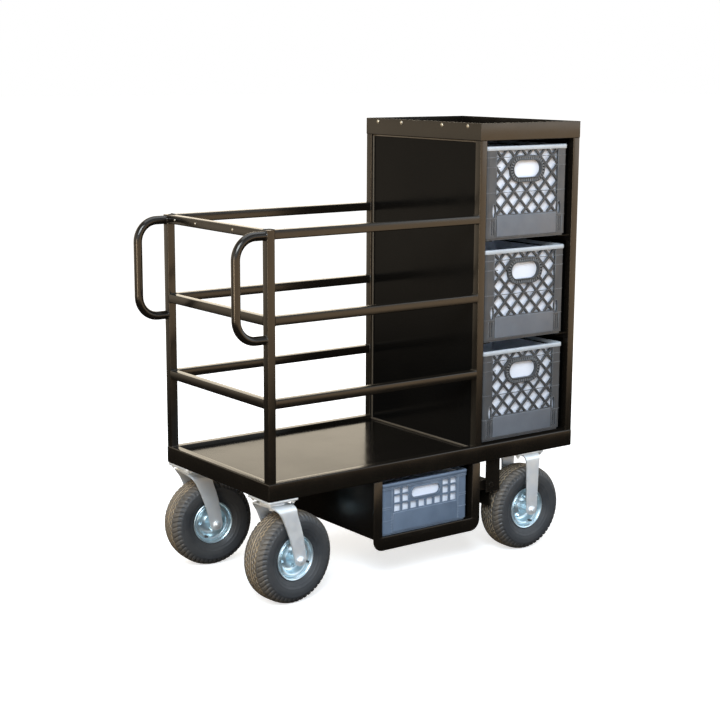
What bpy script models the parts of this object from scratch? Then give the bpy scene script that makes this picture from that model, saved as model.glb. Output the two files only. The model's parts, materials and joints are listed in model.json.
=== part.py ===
"""Steel equipment cart: a railed platform, a tall three-crate cabinet, a crate bay under the
platform, two push handles and four pneumatic casters. Metres, +Z up, the floor at Z = 0.

X runs along the cart from the handles to the cabinet, and Y from the crate side to the back.
The origin is on the floor, under the middle of the whole cart.
"""

import math

import bmesh
import bpy
from mathutils import Matrix, Vector

# ---- Driving dimensions ------------------------------------------------------------------
LENGTH = 1.154  # base frame, end to end
WIDTH = 0.560  # base frame, side to side
PLATFORM = 0.751  # left end of the base to the cabinet
BASE_Z = 0.320  # underside of the base frame
BASE_HEIGHT = 0.052
TUBE = 0.0254  # outside of the square tube, and thickness of the base tube
WALL = 0.0016  # tube wall
BASE_WALL = 0.002
SHEET = 0.002
GAP = 0.0003  # kept between pieces that touch
RAIL_TOPS = {"low": 0.608, "mid": 0.840, "top": 1.076}
CABINET_TOP = 1.346
BAND_HEIGHT = 0.052
PANEL_RECESS = 0.010

HANDLE_REACH = 0.106  # how far the handles stand out from the left end
HANDLE_TUBE = 0.0254
HANDLE_TOP, HANDLE_BOTTOM = 1.061, 0.777  # centrelines of the handle's two ends
HANDLE_BEND = 0.062

CRATE = 0.3302  # a milk crate is 13 x 13 x 11 inches
CRATE_HEIGHT = 0.2794
CRATE_WALL = 0.006
CRATE_PITCH = 0.3085
UPPER_CRATE_TOP = 1.277
CRATE_SIDE_GAP = 0.0022  # the crates stand against the left post
CRATE_SETBACK = 0.002
HANDLE_SLOT = (0.112, 0.050)
HANDLE_SLOT_DROP = 0.070  # crate's top to the slot's middle
SHELF_LIP = 0.020
SHELF_DEPTH = 0.345
SHELF_SETBACK = 0.006
RUNNER = 0.030  # width of an angle runner's flat leg
SHELF_RIGHT_EXTRA = 0.019  # the crates stand left of the middle, so the right runner is wider

BAY_LEFT, BAY_RIGHT = 0.365, 0.773  # from the left end of the base
BAY_FRAME_BOTTOM = 0.108
BAY_FRAME_DEPTH = 0.004
BAY_FRAME_LEG = 0.0305
BAY_FRAME_CORNER = 0.035
BAY_FLOOR = 0.1475
BAY_DEPTH = 0.430
BAY_CRATE_LEFT = 0.3972
BAY_CRATE_HEIGHT = 0.157
BAY_SLOT = (0.108, 0.036)
BAY_SLOT_DROP = 0.040

TYRE_RADIUS = 0.135
TYRE_HALF_WIDTH = 0.049
TREAD_SHELL = 0.008
WHEEL_STEPS = 28
AXLE_RADIUS = 0.006
RUNNING_FIT = 0.0001  # radial clearance of a shaft in its bore
PIN_SIDES = 28
HUB_HALF = 0.0550
RIM_RADIUS = 0.0655
FORK_INSIDE = 0.0555  # wheel's middle to the inner face of a fork leg
FORK_PLATE = 0.005
FORK_WIDTH = 0.048
FORK_CROWN_Z = 0.300  # top of the fork's crown on a swivel caster
PLATE_SIZE = (0.102, 0.114)
PLATE_THICK = 0.006
PLATE_INSET = 0.057  # side of the base to the middle of a caster plate
SWIVEL_X = 0.051
SWIVEL_TRAIL = 0.052
SWIVEL_TOE = math.radians(5)
RACE_RADIUS = 0.038
KINGPIN_RADIUS = 0.008
RIGID_X = 0.989

BRAKE_X, BRAKE_Z = 0.835, 0.236
BRAKE_SHAFT_RADIUS = 0.008
BRAKE_SHAFT_INSET = 0.018  # side of the base to the shaft's end
BRAKE_SHOE_BOTTOM = 0.165
BRAKE_PLATE = 0.006
BRAKE_SHOE_WIDTH = 0.060
HANGER_LEFT, HANGER_RIGHT = 0.018, 0.035  # how far the hanger reaches either side of the shaft
HANGER_BOTTOM = 0.214
HANGER_INSET = 0.020
PEDAL_LENGTH, PEDAL_WIDTH, PEDAL_HEIGHT = 0.052, 0.060, 0.030
PEDAL_TOP = 0.2506
PEDAL_INSET = 0.030

# ---- Places that follow from them --------------------------------------------------------
X_LEFT = (HANDLE_REACH - LENGTH) / 2
X_RIGHT = X_LEFT + LENGTH
Y_NEAR = -WIDTH / 2
Y_FAR = WIDTH / 2
X_CABINET = X_LEFT + PLATFORM
BASE_TOP = BASE_Z + BASE_HEIGHT
BAND_BOTTOM = CABINET_TOP - BAND_HEIGHT
DECK_TOP = BASE_TOP - 0.012


# ---- Materials ---------------------------------------------------------------------------
def material(name, colour, roughness, metallic):
    made = bpy.data.materials.new(name)
    made.use_nodes = True
    shader = made.node_tree.nodes["Principled BSDF"]
    shader.inputs["Base Color"].default_value = (*colour, 1)
    shader.inputs["Roughness"].default_value = roughness
    shader.inputs["Metallic"].default_value = metallic
    return made


def make_materials():
    return {
        "frame": material("black_powder_coat", (0.035, 0.030, 0.025), 0.42, 0.0),
        "sheet": material("black_sheet", (0.020, 0.018, 0.016), 0.30, 0.0),
        "zinc": material("zinc_plated_steel", (0.62, 0.65, 0.68), 0.38, 1.0),
        "rim": material("blue_zinc_rim", (0.55, 0.66, 0.74), 0.28, 1.0),
        "tyre": material("black_rubber", (0.045, 0.045, 0.045), 0.75, 0.0),
        "crate": material("grey_polyethylene", (0.16, 0.18, 0.21), 0.50, 0.0),
    }


# ---- Building blocks ---------------------------------------------------------------------
def add_object(name, mesh, look, collection):
    made = bpy.data.objects.new(name, mesh)
    collection.objects.link(made)
    if look is not None:
        mesh.materials.append(look)
    return made


def mesh_from(bm, name):
    bmesh.ops.recalc_face_normals(bm, faces=bm.faces)
    mesh = bpy.data.meshes.new(name)
    bm.to_mesh(mesh)
    bm.free()
    return mesh


def box_bmesh(low, high):
    bm = bmesh.new()
    bmesh.ops.create_cube(bm, size=1)
    size = Vector(high) - Vector(low)
    middle = (Vector(high) + Vector(low)) / 2
    bmesh.ops.transform(bm, matrix=Matrix.Translation(middle) @ Matrix.Diagonal((*size, 1)), verts=bm.verts)
    return bm


def box(name, low, high, look, collection):
    return add_object(name, mesh_from(box_bmesh(low, high), name), look, collection)


def thicken(obj, thickness, outwards=False):
    """Solidify, inwards from the faces unless told otherwise."""
    solidify = obj.modifiers.new("thickness", "SOLIDIFY")
    solidify.thickness = thickness
    solidify.offset = 1 if outwards else -1
    solidify.use_even_offset = True
    return obj


def faces_facing(bm, *directions):
    found = [f for f in bm.faces if any(f.normal.dot(Vector(d)) > 0.99 for d in directions)]
    return found


def tube(name, low, high, axis, look, collection, wall=WALL):
    """A square or rectangular tube along axis 0, 1 or 2, open at both ends."""
    bm = box_bmesh(low, high)
    bm.normal_update()
    along = Vector([float(k == axis) for k in range(3)])
    bmesh.ops.delete(bm, geom=faces_facing(bm, along, -along), context="FACES")
    return thicken(add_object(name, mesh_from(bm, name), look, collection), wall)


def mitred_tube(name, low, high, axis, outer_face, look, collection):
    """A base tube along axis 0 or 1, cut at 45 degrees at both ends. outer_face is where its
    outer side stands, across the tube."""
    cross = 1 - axis
    bm = bmesh.new()
    rings = []
    for end in (low[axis], high[axis]):
        inwards = math.copysign(1, (low[axis] + high[axis]) / 2 - end)
        for wall in (0, BASE_WALL):
            ring = []
            for use_high, z in ((0, low[2] + wall), (1, low[2] + wall), (1, high[2] - wall), (0, high[2] - wall)):
                point = [0, 0, z]
                point[cross] = high[cross] - wall if use_high else low[cross] + wall
                point[axis] = end + inwards * abs(point[cross] - outer_face)
                ring.append(bm.verts.new(point))
            rings.append(ring)
    outer_start, inner_start, outer_end, inner_end = rings
    pairs = ((outer_start, outer_end), (inner_start, inner_end), (outer_start, inner_start), (outer_end, inner_end))
    for first, second in pairs:
        for i in range(4):
            j = (i + 1) % 4
            bm.faces.new((first[i], first[j], second[j], second[i]))
    return add_object(name, mesh_from(bm, name), look, collection)


def cylinder(name, radius, start, end, sides, look, collection, turn=0.0):
    """A closed cylinder between two points; turn spins it about its own axis."""
    bm = bmesh.new()
    start, end = Vector(start), Vector(end)
    bmesh.ops.create_cone(
        bm, cap_ends=True, segments=sides, radius1=radius, radius2=radius, depth=(end - start).length
    )
    placed = (end - start).to_track_quat("Z", "Y").to_matrix().to_4x4()
    spin = Matrix.Rotation(turn, 4, "Z")
    bmesh.ops.transform(bm, matrix=Matrix.Translation((start + end) / 2) @ placed @ spin, verts=bm.verts)
    return add_object(name, mesh_from(bm, name), look, collection)


def boolean(target, other, operation):
    modifier = target.modifiers.new(operation.lower(), "BOOLEAN")
    modifier.operation = operation
    modifier.object = other
    modifier.solver = "EXACT"
    other.hide_render = True
    other.display_type = "WIRE"
    return target


def turned(name, profile, look, collection, steps=WHEEL_STEPS):
    """A closed profile of (radius, height) points spun about Z, in the order that faces it out."""
    mesh = bpy.data.meshes.new(name)
    pairs = zip(profile, profile[1:] + profile[:1])
    if sum(r0 * h1 - r1 * h0 for (r0, h0), (r1, h1) in pairs) > 0:
        profile = profile[::-1]
    points = [(radius, 0, height) for radius, height in profile]
    edges = [(i, (i + 1) % len(points)) for i in range(len(points))]
    mesh.from_pydata(points, edges, [])
    made = add_object(name, mesh, look, collection)
    screw = made.modifiers.new("turn", "SCREW")
    screw.angle = math.tau
    screw.steps = screw.render_steps = steps
    screw.use_merge_vertices = True
    screw.merge_threshold = 0.00001
    return made


# ---- Base, rails and handles -------------------------------------------------------------
def make_base(looks, parts):
    low, high = BASE_Z, BASE_TOP
    tube_y = {"near": (Y_NEAR, Y_NEAR + TUBE, Y_NEAR), "far": (Y_FAR - TUBE, Y_FAR, Y_FAR)}
    for side, (y0, y1, outer) in tube_y.items():
        mitred_tube(f"base_tube_{side}", (X_LEFT, y0, low), (X_RIGHT, y1, high), 0, outer, looks["frame"], parts)
    tube_x = {"left": (X_LEFT, X_LEFT + TUBE, X_LEFT), "right": (X_RIGHT - TUBE, X_RIGHT, X_RIGHT)}
    mitre_gap = GAP * math.sqrt(2)
    for side, (x0, x1, outer) in tube_x.items():
        ends = (Y_NEAR + mitre_gap, Y_FAR - mitre_gap)
        mitred_tube(
            f"base_tube_{side}", (x0, ends[0], low), (x1, ends[1], high), 1, outer, looks["frame"], parts
        )
    cross_top = DECK_TOP - SHEET - GAP
    inner_y = (Y_NEAR + TUBE + GAP, Y_FAR - TUBE - GAP)
    cross_members = {"left": 0.0889, "middle": 0.470, "cabinet": PLATFORM - TUBE / 2, "right": 1.010}
    for place, x in cross_members.items():
        x0 = X_LEFT + x
        tube(
            f"cross_member_{place}",
            (x0, inner_y[0], low),
            (x0 + TUBE, inner_y[1], cross_top),
            1,
            looks["frame"],
            parts,
        )
    box(
        "platform_deck",
        (X_LEFT + TUBE + GAP, inner_y[0], DECK_TOP - SHEET),
        (X_CABINET - GAP, inner_y[1], DECK_TOP),
        looks["sheet"],
        parts,
    )


def make_rails(looks, parts):
    post_low = BASE_TOP + GAP
    side_y = {"near": Y_NEAR, "far": Y_FAR - TUBE}
    for side, y in side_y.items():
        tube(
            f"corner_post_{side}",
            (X_LEFT, y, post_low),
            (X_LEFT + TUBE, y + TUBE, RAIL_TOPS["top"]),
            2,
            looks["frame"],
            parts,
        )
    for level, top in RAIL_TOPS.items():
        for side, y in side_y.items():
            tube(
                f"{level}_rail_{side}",
                (X_LEFT + TUBE + GAP, y, top - TUBE),
                (X_CABINET - GAP, y + TUBE, top),
                0,
                looks["frame"],
                parts,
            )
        tube(
            f"{level}_rail_end",
            (X_LEFT, Y_NEAR + TUBE + GAP, top - TUBE),
            (X_LEFT + TUBE, Y_FAR - TUBE - GAP, top),
            1,
            looks["frame"],
            parts,
        )


def handle_points():
    """Centreline of a handle in its own plane, (out from the post, height)."""
    reach = HANDLE_REACH - HANDLE_TUBE / 2
    steps = 5
    points = [(GAP, HANDLE_TOP)]
    for centre_z, first in ((HANDLE_TOP - HANDLE_BEND, 0), (HANDLE_BOTTOM + HANDLE_BEND, 1)):
        for i in range(steps + 1):
            angle = math.pi / 2 * (i / steps + first)
            out = reach - HANDLE_BEND + HANDLE_BEND * math.sin(angle)
            points.append((out, centre_z + HANDLE_BEND * math.cos(angle)))
    points.append((GAP, HANDLE_BOTTOM))
    return points


def make_handles(looks, parts):
    for side, y in {"near": Y_NEAR + TUBE / 2, "far": Y_FAR - TUBE / 2}.items():
        curve = bpy.data.curves.new(f"push_handle_{side}", "CURVE")
        curve.dimensions = "3D"
        curve.bevel_depth = HANDLE_TUBE / 2
        curve.bevel_resolution = 4
        curve.use_fill_caps = True
        spline = curve.splines.new("POLY")
        points = handle_points()
        spline.points.add(len(points) - 1)
        for point, (out, height) in zip(spline.points, points):
            point.co = (X_LEFT - out, y, height, 1)
        add_object(f"push_handle_{side}", curve, looks["frame"], parts)


# ---- Cabinet -----------------------------------------------------------------------------
def make_cabinet_frame(looks, parts):
    post_x = {"left": X_CABINET, "right": X_RIGHT - TUBE}
    post_y = {"near": Y_NEAR, "far": Y_FAR - TUBE}
    for side_x, x in post_x.items():
        for side_y, y in post_y.items():
            tube(
                f"cabinet_post_{side_y}_{side_x}",
                (x, y, BASE_TOP + GAP),
                (x + TUBE, y + TUBE, BAND_BOTTOM - GAP),
                2,
                looks["frame"],
                parts,
            )


def make_top_band(looks, parts):
    """An angle ring: a 2 inch upright leg, and a 1 inch flange at its foot for the tray."""
    low, high = (X_CABINET, Y_NEAR), (X_RIGHT, Y_FAR)
    bm = bmesh.new()
    corners = [(low[0], low[1]), (high[0], low[1]), (high[0], high[1]), (low[0], high[1])]
    inner = [
        (low[0] + TUBE, low[1] + TUBE),
        (high[0] - TUBE, low[1] + TUBE),
        (high[0] - TUBE, high[1] - TUBE),
        (low[0] + TUBE, high[1] - TUBE),
    ]
    top = [bm.verts.new((x, y, CABINET_TOP)) for x, y in corners]
    foot = [bm.verts.new((x, y, BAND_BOTTOM)) for x, y in corners]
    flange = [bm.verts.new((x, y, BAND_BOTTOM)) for x, y in inner]
    for i in range(4):
        j = (i + 1) % 4
        bm.faces.new((foot[i], foot[j], top[j], top[i]))
        bm.faces.new((flange[i], flange[j], foot[j], foot[i]))
    mesh = bpy.data.meshes.new("cabinet_top_band")
    bm.to_mesh(mesh)
    bm.free()
    return thicken(add_object("cabinet_top_band", mesh, looks["frame"], parts), 0.003)


def make_cabinet_panels(looks, parts):
    panel_low, panel_high = DECK_TOP + GAP, BAND_BOTTOM - GAP
    inner_y = (Y_NEAR + TUBE + GAP, Y_FAR - TUBE - GAP)
    inner_x = (X_CABINET + TUBE + GAP, X_RIGHT - TUBE - GAP)
    side_x = {"left": X_CABINET + PANEL_RECESS, "right": X_RIGHT - PANEL_RECESS - SHEET}
    low = {"left": panel_low, "right": BASE_TOP + GAP}
    for side, x in side_x.items():
        box(
            f"cabinet_panel_{side}",
            (x, inner_y[0], low[side]),
            (x + SHEET, inner_y[1], panel_high),
            looks["sheet"],
            parts,
        )
    box(
        "cabinet_panel_back",
        (inner_x[0], Y_FAR - PANEL_RECESS - SHEET, BASE_TOP + GAP),
        (inner_x[1], Y_FAR - PANEL_RECESS, panel_high),
        looks["sheet"],
        parts,
    )
    tray_edge = 0.003 + GAP
    tray_z = BAND_BOTTOM + 0.003 + GAP
    box(
        "cabinet_top_tray",
        (X_CABINET + tray_edge, Y_NEAR + tray_edge, tray_z),
        (X_RIGHT - tray_edge, Y_FAR - tray_edge, tray_z + SHEET),
        looks["sheet"],
        parts,
    )


def crate_top(level):
    return UPPER_CRATE_TOP - level * CRATE_PITCH


def make_shelf(name, top, lip, looks, parts):
    """Two angle runners and the bar that joins them at the back, folded from one sheet. The
    runners' outer legs turn down, and the bar's back leg turns up as a stop."""
    x0, x1 = X_CABINET + TUBE + GAP, X_RIGHT - TUBE - GAP
    y0, y1 = Y_NEAR + SHELF_SETBACK, Y_NEAR + SHELF_SETBACK + SHELF_DEPTH
    left, right, bar = x0 + RUNNER, x1 - RUNNER - SHELF_RIGHT_EXTRA, y1 - RUNNER
    bm = bmesh.new()
    outline = [(x0, y0), (left, y0), (left, bar), (right, bar), (right, y0), (x1, y0), (x1, y1), (x0, y1)]
    ring = [bm.verts.new((x, y, top)) for x, y in outline]
    for corners in ((0, 1, 2, 7), (2, 3, 6, 7), (3, 4, 5, 6)):
        bm.faces.new([ring[i] for i in corners])
    fold(bm, ring[0], ring[7], -lip)
    fold(bm, ring[6], ring[5], -lip)
    fold(bm, ring[7], ring[6], SHELF_LIP)
    bmesh.ops.recalc_face_normals(bm, faces=bm.faces)
    flat = next(f for f in bm.faces if abs(f.normal.z) > 0.9)
    if flat.normal.z < 0:
        bmesh.ops.reverse_faces(bm, faces=bm.faces)
    mesh = bpy.data.meshes.new(name)
    bm.to_mesh(mesh)
    bm.free()
    return thicken(add_object(name, mesh, looks["sheet"], parts), SHEET)


def make_cabinet_floor(name, top, lip, looks, parts):
    """A shallow pan turned upside down on the base frame, under the lowest crate."""
    low = (X_CABINET + TUBE + GAP, Y_NEAR + SHELF_SETBACK, top - lip)
    high = (X_RIGHT - TUBE - GAP, Y_FAR - PANEL_RECESS - SHEET - GAP, top)
    bm = box_bmesh(low, high)
    bm.normal_update()
    bmesh.ops.delete(bm, geom=faces_facing(bm, (0, 0, -1)), context="FACES")
    return thicken(add_object(name, mesh_from(bm, name), looks["sheet"], parts), SHEET)


def fold(bm, start, end, rise):
    """Adds the upright leg along one edge of a shelf."""
    lifted = [bm.verts.new(v.co + Vector((0, 0, rise))) for v in (end, start)]
    bm.faces.new((start, end, *lifted))


def slot_cutter(name, centre, size, depth, cutters):
    """A block with round ends, to cut a hand slot through a crate's front and back."""
    half = Vector((size[0] / 2, depth / 2, size[1] / 2))
    bm = box_bmesh(Vector(centre) - half, Vector(centre) + half)
    upright = [e for e in bm.edges if abs((e.verts[0].co - e.verts[1].co).normalized().y) > 0.99]
    bmesh.ops.bevel(bm, geom=upright, offset=size[1] * 0.45, segments=4, profile=0.5, affect="EDGES")
    return add_object(name, mesh_from(bm, name), None, cutters)


def make_crate(name, left, front, bottom, height, slot, slot_drop, looks, parts, cutters):
    """An open-topped crate with a hand slot in its front and its back."""
    bm = box_bmesh((left, front, bottom), (left + CRATE, front + CRATE, bottom + height))
    bm.normal_update()
    bmesh.ops.delete(bm, geom=faces_facing(bm, (0, 0, 1)), context="FACES")
    crate = thicken(add_object(name, mesh_from(bm, name), looks["crate"], parts), CRATE_WALL)
    centre = (left + CRATE / 2, front + CRATE / 2, bottom + height - slot_drop)
    cutter = slot_cutter(f"{name}_slot", centre, slot, CRATE * 1.2, cutters)
    return boolean(crate, cutter, "DIFFERENCE")


def make_cabinet_crates(looks, parts, cutters):
    left = X_CABINET + TUBE + CRATE_SIDE_GAP
    for level, place in enumerate(("upper", "middle", "lower")):
        bottom = crate_top(level) - CRATE_HEIGHT
        shelf_top = bottom - GAP
        if place == "lower":
            make_cabinet_floor("cabinet_floor", shelf_top, shelf_top - BASE_TOP - GAP, looks, parts)
        else:
            make_shelf(f"crate_shelf_{place}", shelf_top, SHELF_LIP, looks, parts)
        make_crate(
            f"crate_{place}",
            left,
            Y_NEAR + CRATE_SETBACK,
            bottom,
            CRATE_HEIGHT,
            HANDLE_SLOT,
            HANDLE_SLOT_DROP,
            looks,
            parts,
            cutters,
        )


# ---- Bay under the platform --------------------------------------------------------------
def make_bay(looks, parts, cutters):
    x0, x1 = X_LEFT + BAY_LEFT, X_LEFT + BAY_RIGHT
    top = BASE_Z - GAP
    bm = box_bmesh((x0, Y_NEAR + BAY_FRAME_DEPTH + GAP, BAY_FLOOR), (x1, Y_NEAR + BAY_DEPTH, top))
    bm.normal_update()
    bmesh.ops.delete(bm, geom=faces_facing(bm, (0, 0, 1), (0, -1, 0)), context="FACES")
    thicken(add_object("bay_box", mesh_from(bm, "bay_box"), looks["sheet"], parts), SHEET)

    frame_mesh = mesh_from(rounded_bay_outline(x0, x1, top), "bay_front_frame")
    frame = add_object("bay_front_frame", frame_mesh, looks["frame"], parts)
    opening = box(
        "bay_frame_opening",
        (x0 + BAY_FRAME_LEG, Y_NEAR - 0.05, BAY_FLOOR + SHEET),
        (x1 - BAY_FRAME_LEG, Y_NEAR + 0.05, top + 0.05),
        None,
        cutters,
    )
    boolean(frame, opening, "DIFFERENCE")
    make_crate(
        "bay_crate",
        X_LEFT + BAY_CRATE_LEFT,
        Y_NEAR + CRATE_SETBACK,
        BAY_FLOOR + SHEET + GAP,
        BAY_CRATE_HEIGHT,
        BAY_SLOT,
        BAY_SLOT_DROP,
        looks,
        parts,
        cutters,
    )


def rounded_bay_outline(x0, x1, top):
    """The bay's front frame before its opening is cut: a block with two round lower corners."""
    bm = box_bmesh((x0, Y_NEAR, BAY_FRAME_BOTTOM), (x1, Y_NEAR + BAY_FRAME_DEPTH, top))
    lower = [e for e in bm.edges if all(v.co.z < BAY_FRAME_BOTTOM + 1e-6 for v in e.verts)]
    along_y = [e for e in lower if abs(e.verts[0].co.y - e.verts[1].co.y) > 1e-6]
    bmesh.ops.bevel(bm, geom=along_y, offset=BAY_FRAME_CORNER, segments=5, profile=0.5, affect="EDGES")
    return bm


# ---- Casters -----------------------------------------------------------------------------
def tyre_profile():
    """Half of the tyre's section is a run of points from tread to bead; the other mirrors it.
    The section is a C, open towards the rim, as a pneumatic tyre is."""
    outer_half = [
        (TYRE_RADIUS, 0.022),
        (TYRE_RADIUS - 0.005, 0.037),
        (TYRE_RADIUS - 0.018, TYRE_HALF_WIDTH - 0.002),
        (TYRE_RADIUS - 0.036, TYRE_HALF_WIDTH),
        (TYRE_RADIUS - 0.055, 0.043),
        (RIM_RADIUS + 0.0015, 0.0345),
        (0.0618, 0.0288),
    ]
    inner_half = [
        (0.0610, 0.0190),
        (RIM_RADIUS + 0.010, 0.030),
        (TYRE_RADIUS - 0.045, TYRE_HALF_WIDTH - TREAD_SHELL),
        (TYRE_RADIUS - 0.018, TYRE_HALF_WIDTH - TREAD_SHELL - 0.004),
        (TYRE_RADIUS - 0.010, 0.018),
    ]
    half = outer_half + inner_half
    mirrored = [(radius, -height) for radius, height in reversed(half)]
    return half + mirrored


def rim_profile():
    """A pressed steel wheel: two flanged rims on a centre disc, and a hub with the axle bore."""
    half = [
        (AXLE_RADIUS + RUNNING_FIT, HUB_HALF),
        (0.0165, HUB_HALF),
        (0.0165, 0.008),
        (0.0300, 0.003),
        (0.0440, 0.003),
        (0.0500, 0.010),
        (0.0520, 0.026),
        (0.0585, 0.0310),
        (RIM_RADIUS - 0.0015, 0.0365),
        (RIM_RADIUS, 0.0350),
        (0.0605, 0.0295),
        (0.0545, 0.0180),
    ]
    mirrored = [(radius, -height) for radius, height in reversed(half)]
    return half + mirrored


def axle_profile():
    """A through bolt with a head and a nut, drawn round."""
    outer = FORK_INSIDE + FORK_PLATE + GAP
    head = 0.010
    half = [
        (0.0001, outer + head),
        (0.0100, outer + head),
        (0.0100, outer),
        (AXLE_RADIUS, outer),
    ]
    return half + [(radius, -height) for radius, height in reversed(half)]


def fork_bmesh(crown_z, trail):
    """An inverted U of bent plate. Its legs lean by trail from the crown to the axle, and their
    feet are round. Built with the wheel's axle along Y and the crown's middle on X = 0."""
    outside = FORK_INSIDE + FORK_PLATE
    foot_z = TYRE_RADIUS - FORK_WIDTH * 0.42
    bm = box_bmesh((-FORK_WIDTH / 2, -outside, foot_z), (FORK_WIDTH / 2, outside, crown_z))
    bm.normal_update()
    bmesh.ops.delete(bm, geom=faces_facing(bm, (1, 0, 0), (-1, 0, 0), (0, 0, -1)), context="FACES")
    crown_edges = [e for e in bm.edges if all(v.co.z > crown_z - 1e-6 for v in e.verts)]
    along_x = [e for e in crown_edges if abs(e.verts[0].co.x - e.verts[1].co.x) > 1e-6]
    bmesh.ops.bevel(bm, geom=along_x, offset=0.014, segments=3, profile=0.5, affect="EDGES")
    lean = trail / (crown_z - TYRE_RADIUS)
    for vert in bm.verts:
        vert.co.x += lean * max(0.0, crown_z - vert.co.z)
    return bm


def foot_corner_cutters(name, trail, cutters):
    """A block with a round notch: what it leaves of a fork leg's foot is a half circle."""
    radius = FORK_WIDTH * 0.42
    centre = Vector((trail, 0, TYRE_RADIUS))
    low = (centre.x - FORK_WIDTH, -0.09, TYRE_RADIUS - 0.06)
    high = (centre.x + FORK_WIDTH, 0.09, TYRE_RADIUS)
    block = box(name, low, high, None, cutters)
    ends = (centre + Vector((0, -0.1, 0)), centre + Vector((0, 0.1, 0)))
    notch = cylinder(f"{name}_notch", radius, *ends, 20, None, cutters)
    return boolean(block, notch, "DIFFERENCE")


def place(obj, frame):
    obj.matrix_world = frame
    return obj


def make_fork(name, crown_z, trail, frame, looks, parts, cutters):
    """The fork, with its feet rounded and drilled for the axle, in the caster's frame."""
    fork = add_object(name, mesh_from(fork_bmesh(crown_z, trail), name), looks["zinc"], parts)
    thicken(fork, FORK_PLATE)
    helpers = [foot_corner_cutters(f"{name}_foot", trail, cutters)]
    axle = ((trail, -0.1, TYRE_RADIUS), (trail, 0.1, TYRE_RADIUS))
    helpers.append(cylinder(f"{name}_axle_hole", AXLE_RADIUS + 0.0004, *axle, 12, None, cutters))
    for helper in helpers:
        boolean(fork, helper, "DIFFERENCE")
    notch = bpy.data.objects[f"{name}_foot_notch"]
    for obj in (fork, notch, *helpers):
        place(obj, frame)
    return fork


def make_wheel(name, trail, frame, looks, parts):
    """Tyre, rim and axle, all turned about the axle's line."""
    lay_down = Matrix.Rotation(math.pi / 2, 4, "X")
    bottom_point = Matrix.Rotation(math.pi / 2, 4, "Z")
    placed = frame @ Matrix.Translation((trail, 0, TYRE_RADIUS)) @ lay_down @ bottom_point
    place(turned(f"tyre_{name}", tyre_profile(), looks["tyre"], parts), placed)
    place(turned(f"rim_{name}", rim_profile(), looks["rim"], parts), placed)
    place(turned(f"axle_{name}", axle_profile(), looks["zinc"], parts), placed)


def make_swivel_caster(side, centre, toe, looks, parts, cutters):
    """The fork turns under the plate on a ball race about the kingpin."""
    name = f"left_{side}"
    upright = Matrix.Translation((*centre, 0))
    frame = upright @ Matrix.Rotation(toe, 4, "Z")
    plate_low = BASE_Z - GAP - PLATE_THICK
    half_x, half_y = PLATE_SIZE[0] / 2, PLATE_SIZE[1] / 2
    plate = box(
        f"caster_plate_{name}", (-half_x, -half_y, plate_low), (half_x, half_y, plate_low + PLATE_THICK),
        looks["zinc"], parts,
    )
    pin_foot = FORK_CROWN_Z - 0.018
    pin = cylinder(
        f"kingpin_{name}", KINGPIN_RADIUS, (0, 0, pin_foot), (0, 0, plate_low + 0.002), PIN_SIDES, None, cutters
    )
    nut = cylinder(
        f"kingpin_nut_{name}", 0.013, (0, 0, pin_foot - 0.004), (0, 0, FORK_CROWN_Z - 0.007), 6, None, cutters
    )
    boolean(boolean(plate, pin, "UNION"), nut, "UNION")
    for obj in (plate, pin, nut):
        place(obj, upright)

    fork = make_fork(f"fork_{name}", FORK_CROWN_Z, SWIVEL_TRAIL, frame, looks, parts, cutters)
    race = cylinder(
        f"race_{name}", RACE_RADIUS, (0, 0, FORK_CROWN_Z - 0.003), (0, 0, plate_low - 0.0006), 24, None, cutters
    )
    bore_ends = ((0, 0, FORK_CROWN_Z - 0.03), (0, 0, BASE_Z))
    bore = cylinder(f"race_bore_{name}", KINGPIN_RADIUS + RUNNING_FIT, *bore_ends, PIN_SIDES, None, cutters)
    boolean(boolean(fork, race, "UNION"), bore, "DIFFERENCE")
    for obj in (race, bore):
        place(obj, frame)
    make_wheel(name, SWIVEL_TRAIL, frame, looks, parts)


def make_rigid_caster(side, centre, looks, parts, cutters):
    """The fork is welded to its own plate, and doesn't turn."""
    name = f"right_{side}"
    frame = Matrix.Translation((*centre, 0))
    crown_z = BASE_Z - GAP - PLATE_THICK
    fork = make_fork(f"fork_{name}", crown_z, 0.0, frame, looks, parts, cutters)
    half_x, half_y = PLATE_SIZE[1] / 2, PLATE_SIZE[0] / 2
    plate = box(
        f"plate_{name}",
        (-half_x, -half_y, crown_z - 0.0015),
        (half_x, half_y, crown_z + PLATE_THICK),
        None,
        cutters,
    )
    boolean(fork, place(plate, frame), "UNION")
    make_wheel(name, 0.0, frame, looks, parts)


def make_casters(looks, parts, cutters):
    for side, sign in (("near", -1), ("far", 1)):
        y = sign * (WIDTH / 2 - PLATE_INSET)
        make_swivel_caster(side, (X_LEFT + SWIVEL_X, y), -sign * SWIVEL_TOE, looks, parts, cutters)
        make_rigid_caster(side, (X_LEFT + RIGID_X, y), looks, parts, cutters)


# ---- Tyre brake --------------------------------------------------------------------------
def pedal(x, cutters):
    """A bent plate with a tread on top and flanges on three sides."""
    low = (x - PEDAL_LENGTH, Y_NEAR + PEDAL_INSET, PEDAL_TOP - PEDAL_HEIGHT)
    high = (x + 0.002, Y_NEAR + PEDAL_INSET + PEDAL_WIDTH, PEDAL_TOP)
    bm = box_bmesh(low, high)
    bm.normal_update()
    bmesh.ops.delete(bm, geom=faces_facing(bm, (1, 0, 0), (0, 0, -1)), context="FACES")
    return thicken(add_object("brake_pedal", mesh_from(bm, "brake_pedal"), None, cutters), BRAKE_PLATE)


def shoe(name, x, y, cutters):
    low = (x + 0.001, y - BRAKE_SHOE_WIDTH / 2, BRAKE_SHOE_BOTTOM)
    high = (x + 0.001 + BRAKE_PLATE, y + BRAKE_SHOE_WIDTH / 2, BRAKE_Z + 0.003)
    return box(name, low, high, None, cutters)


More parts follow.
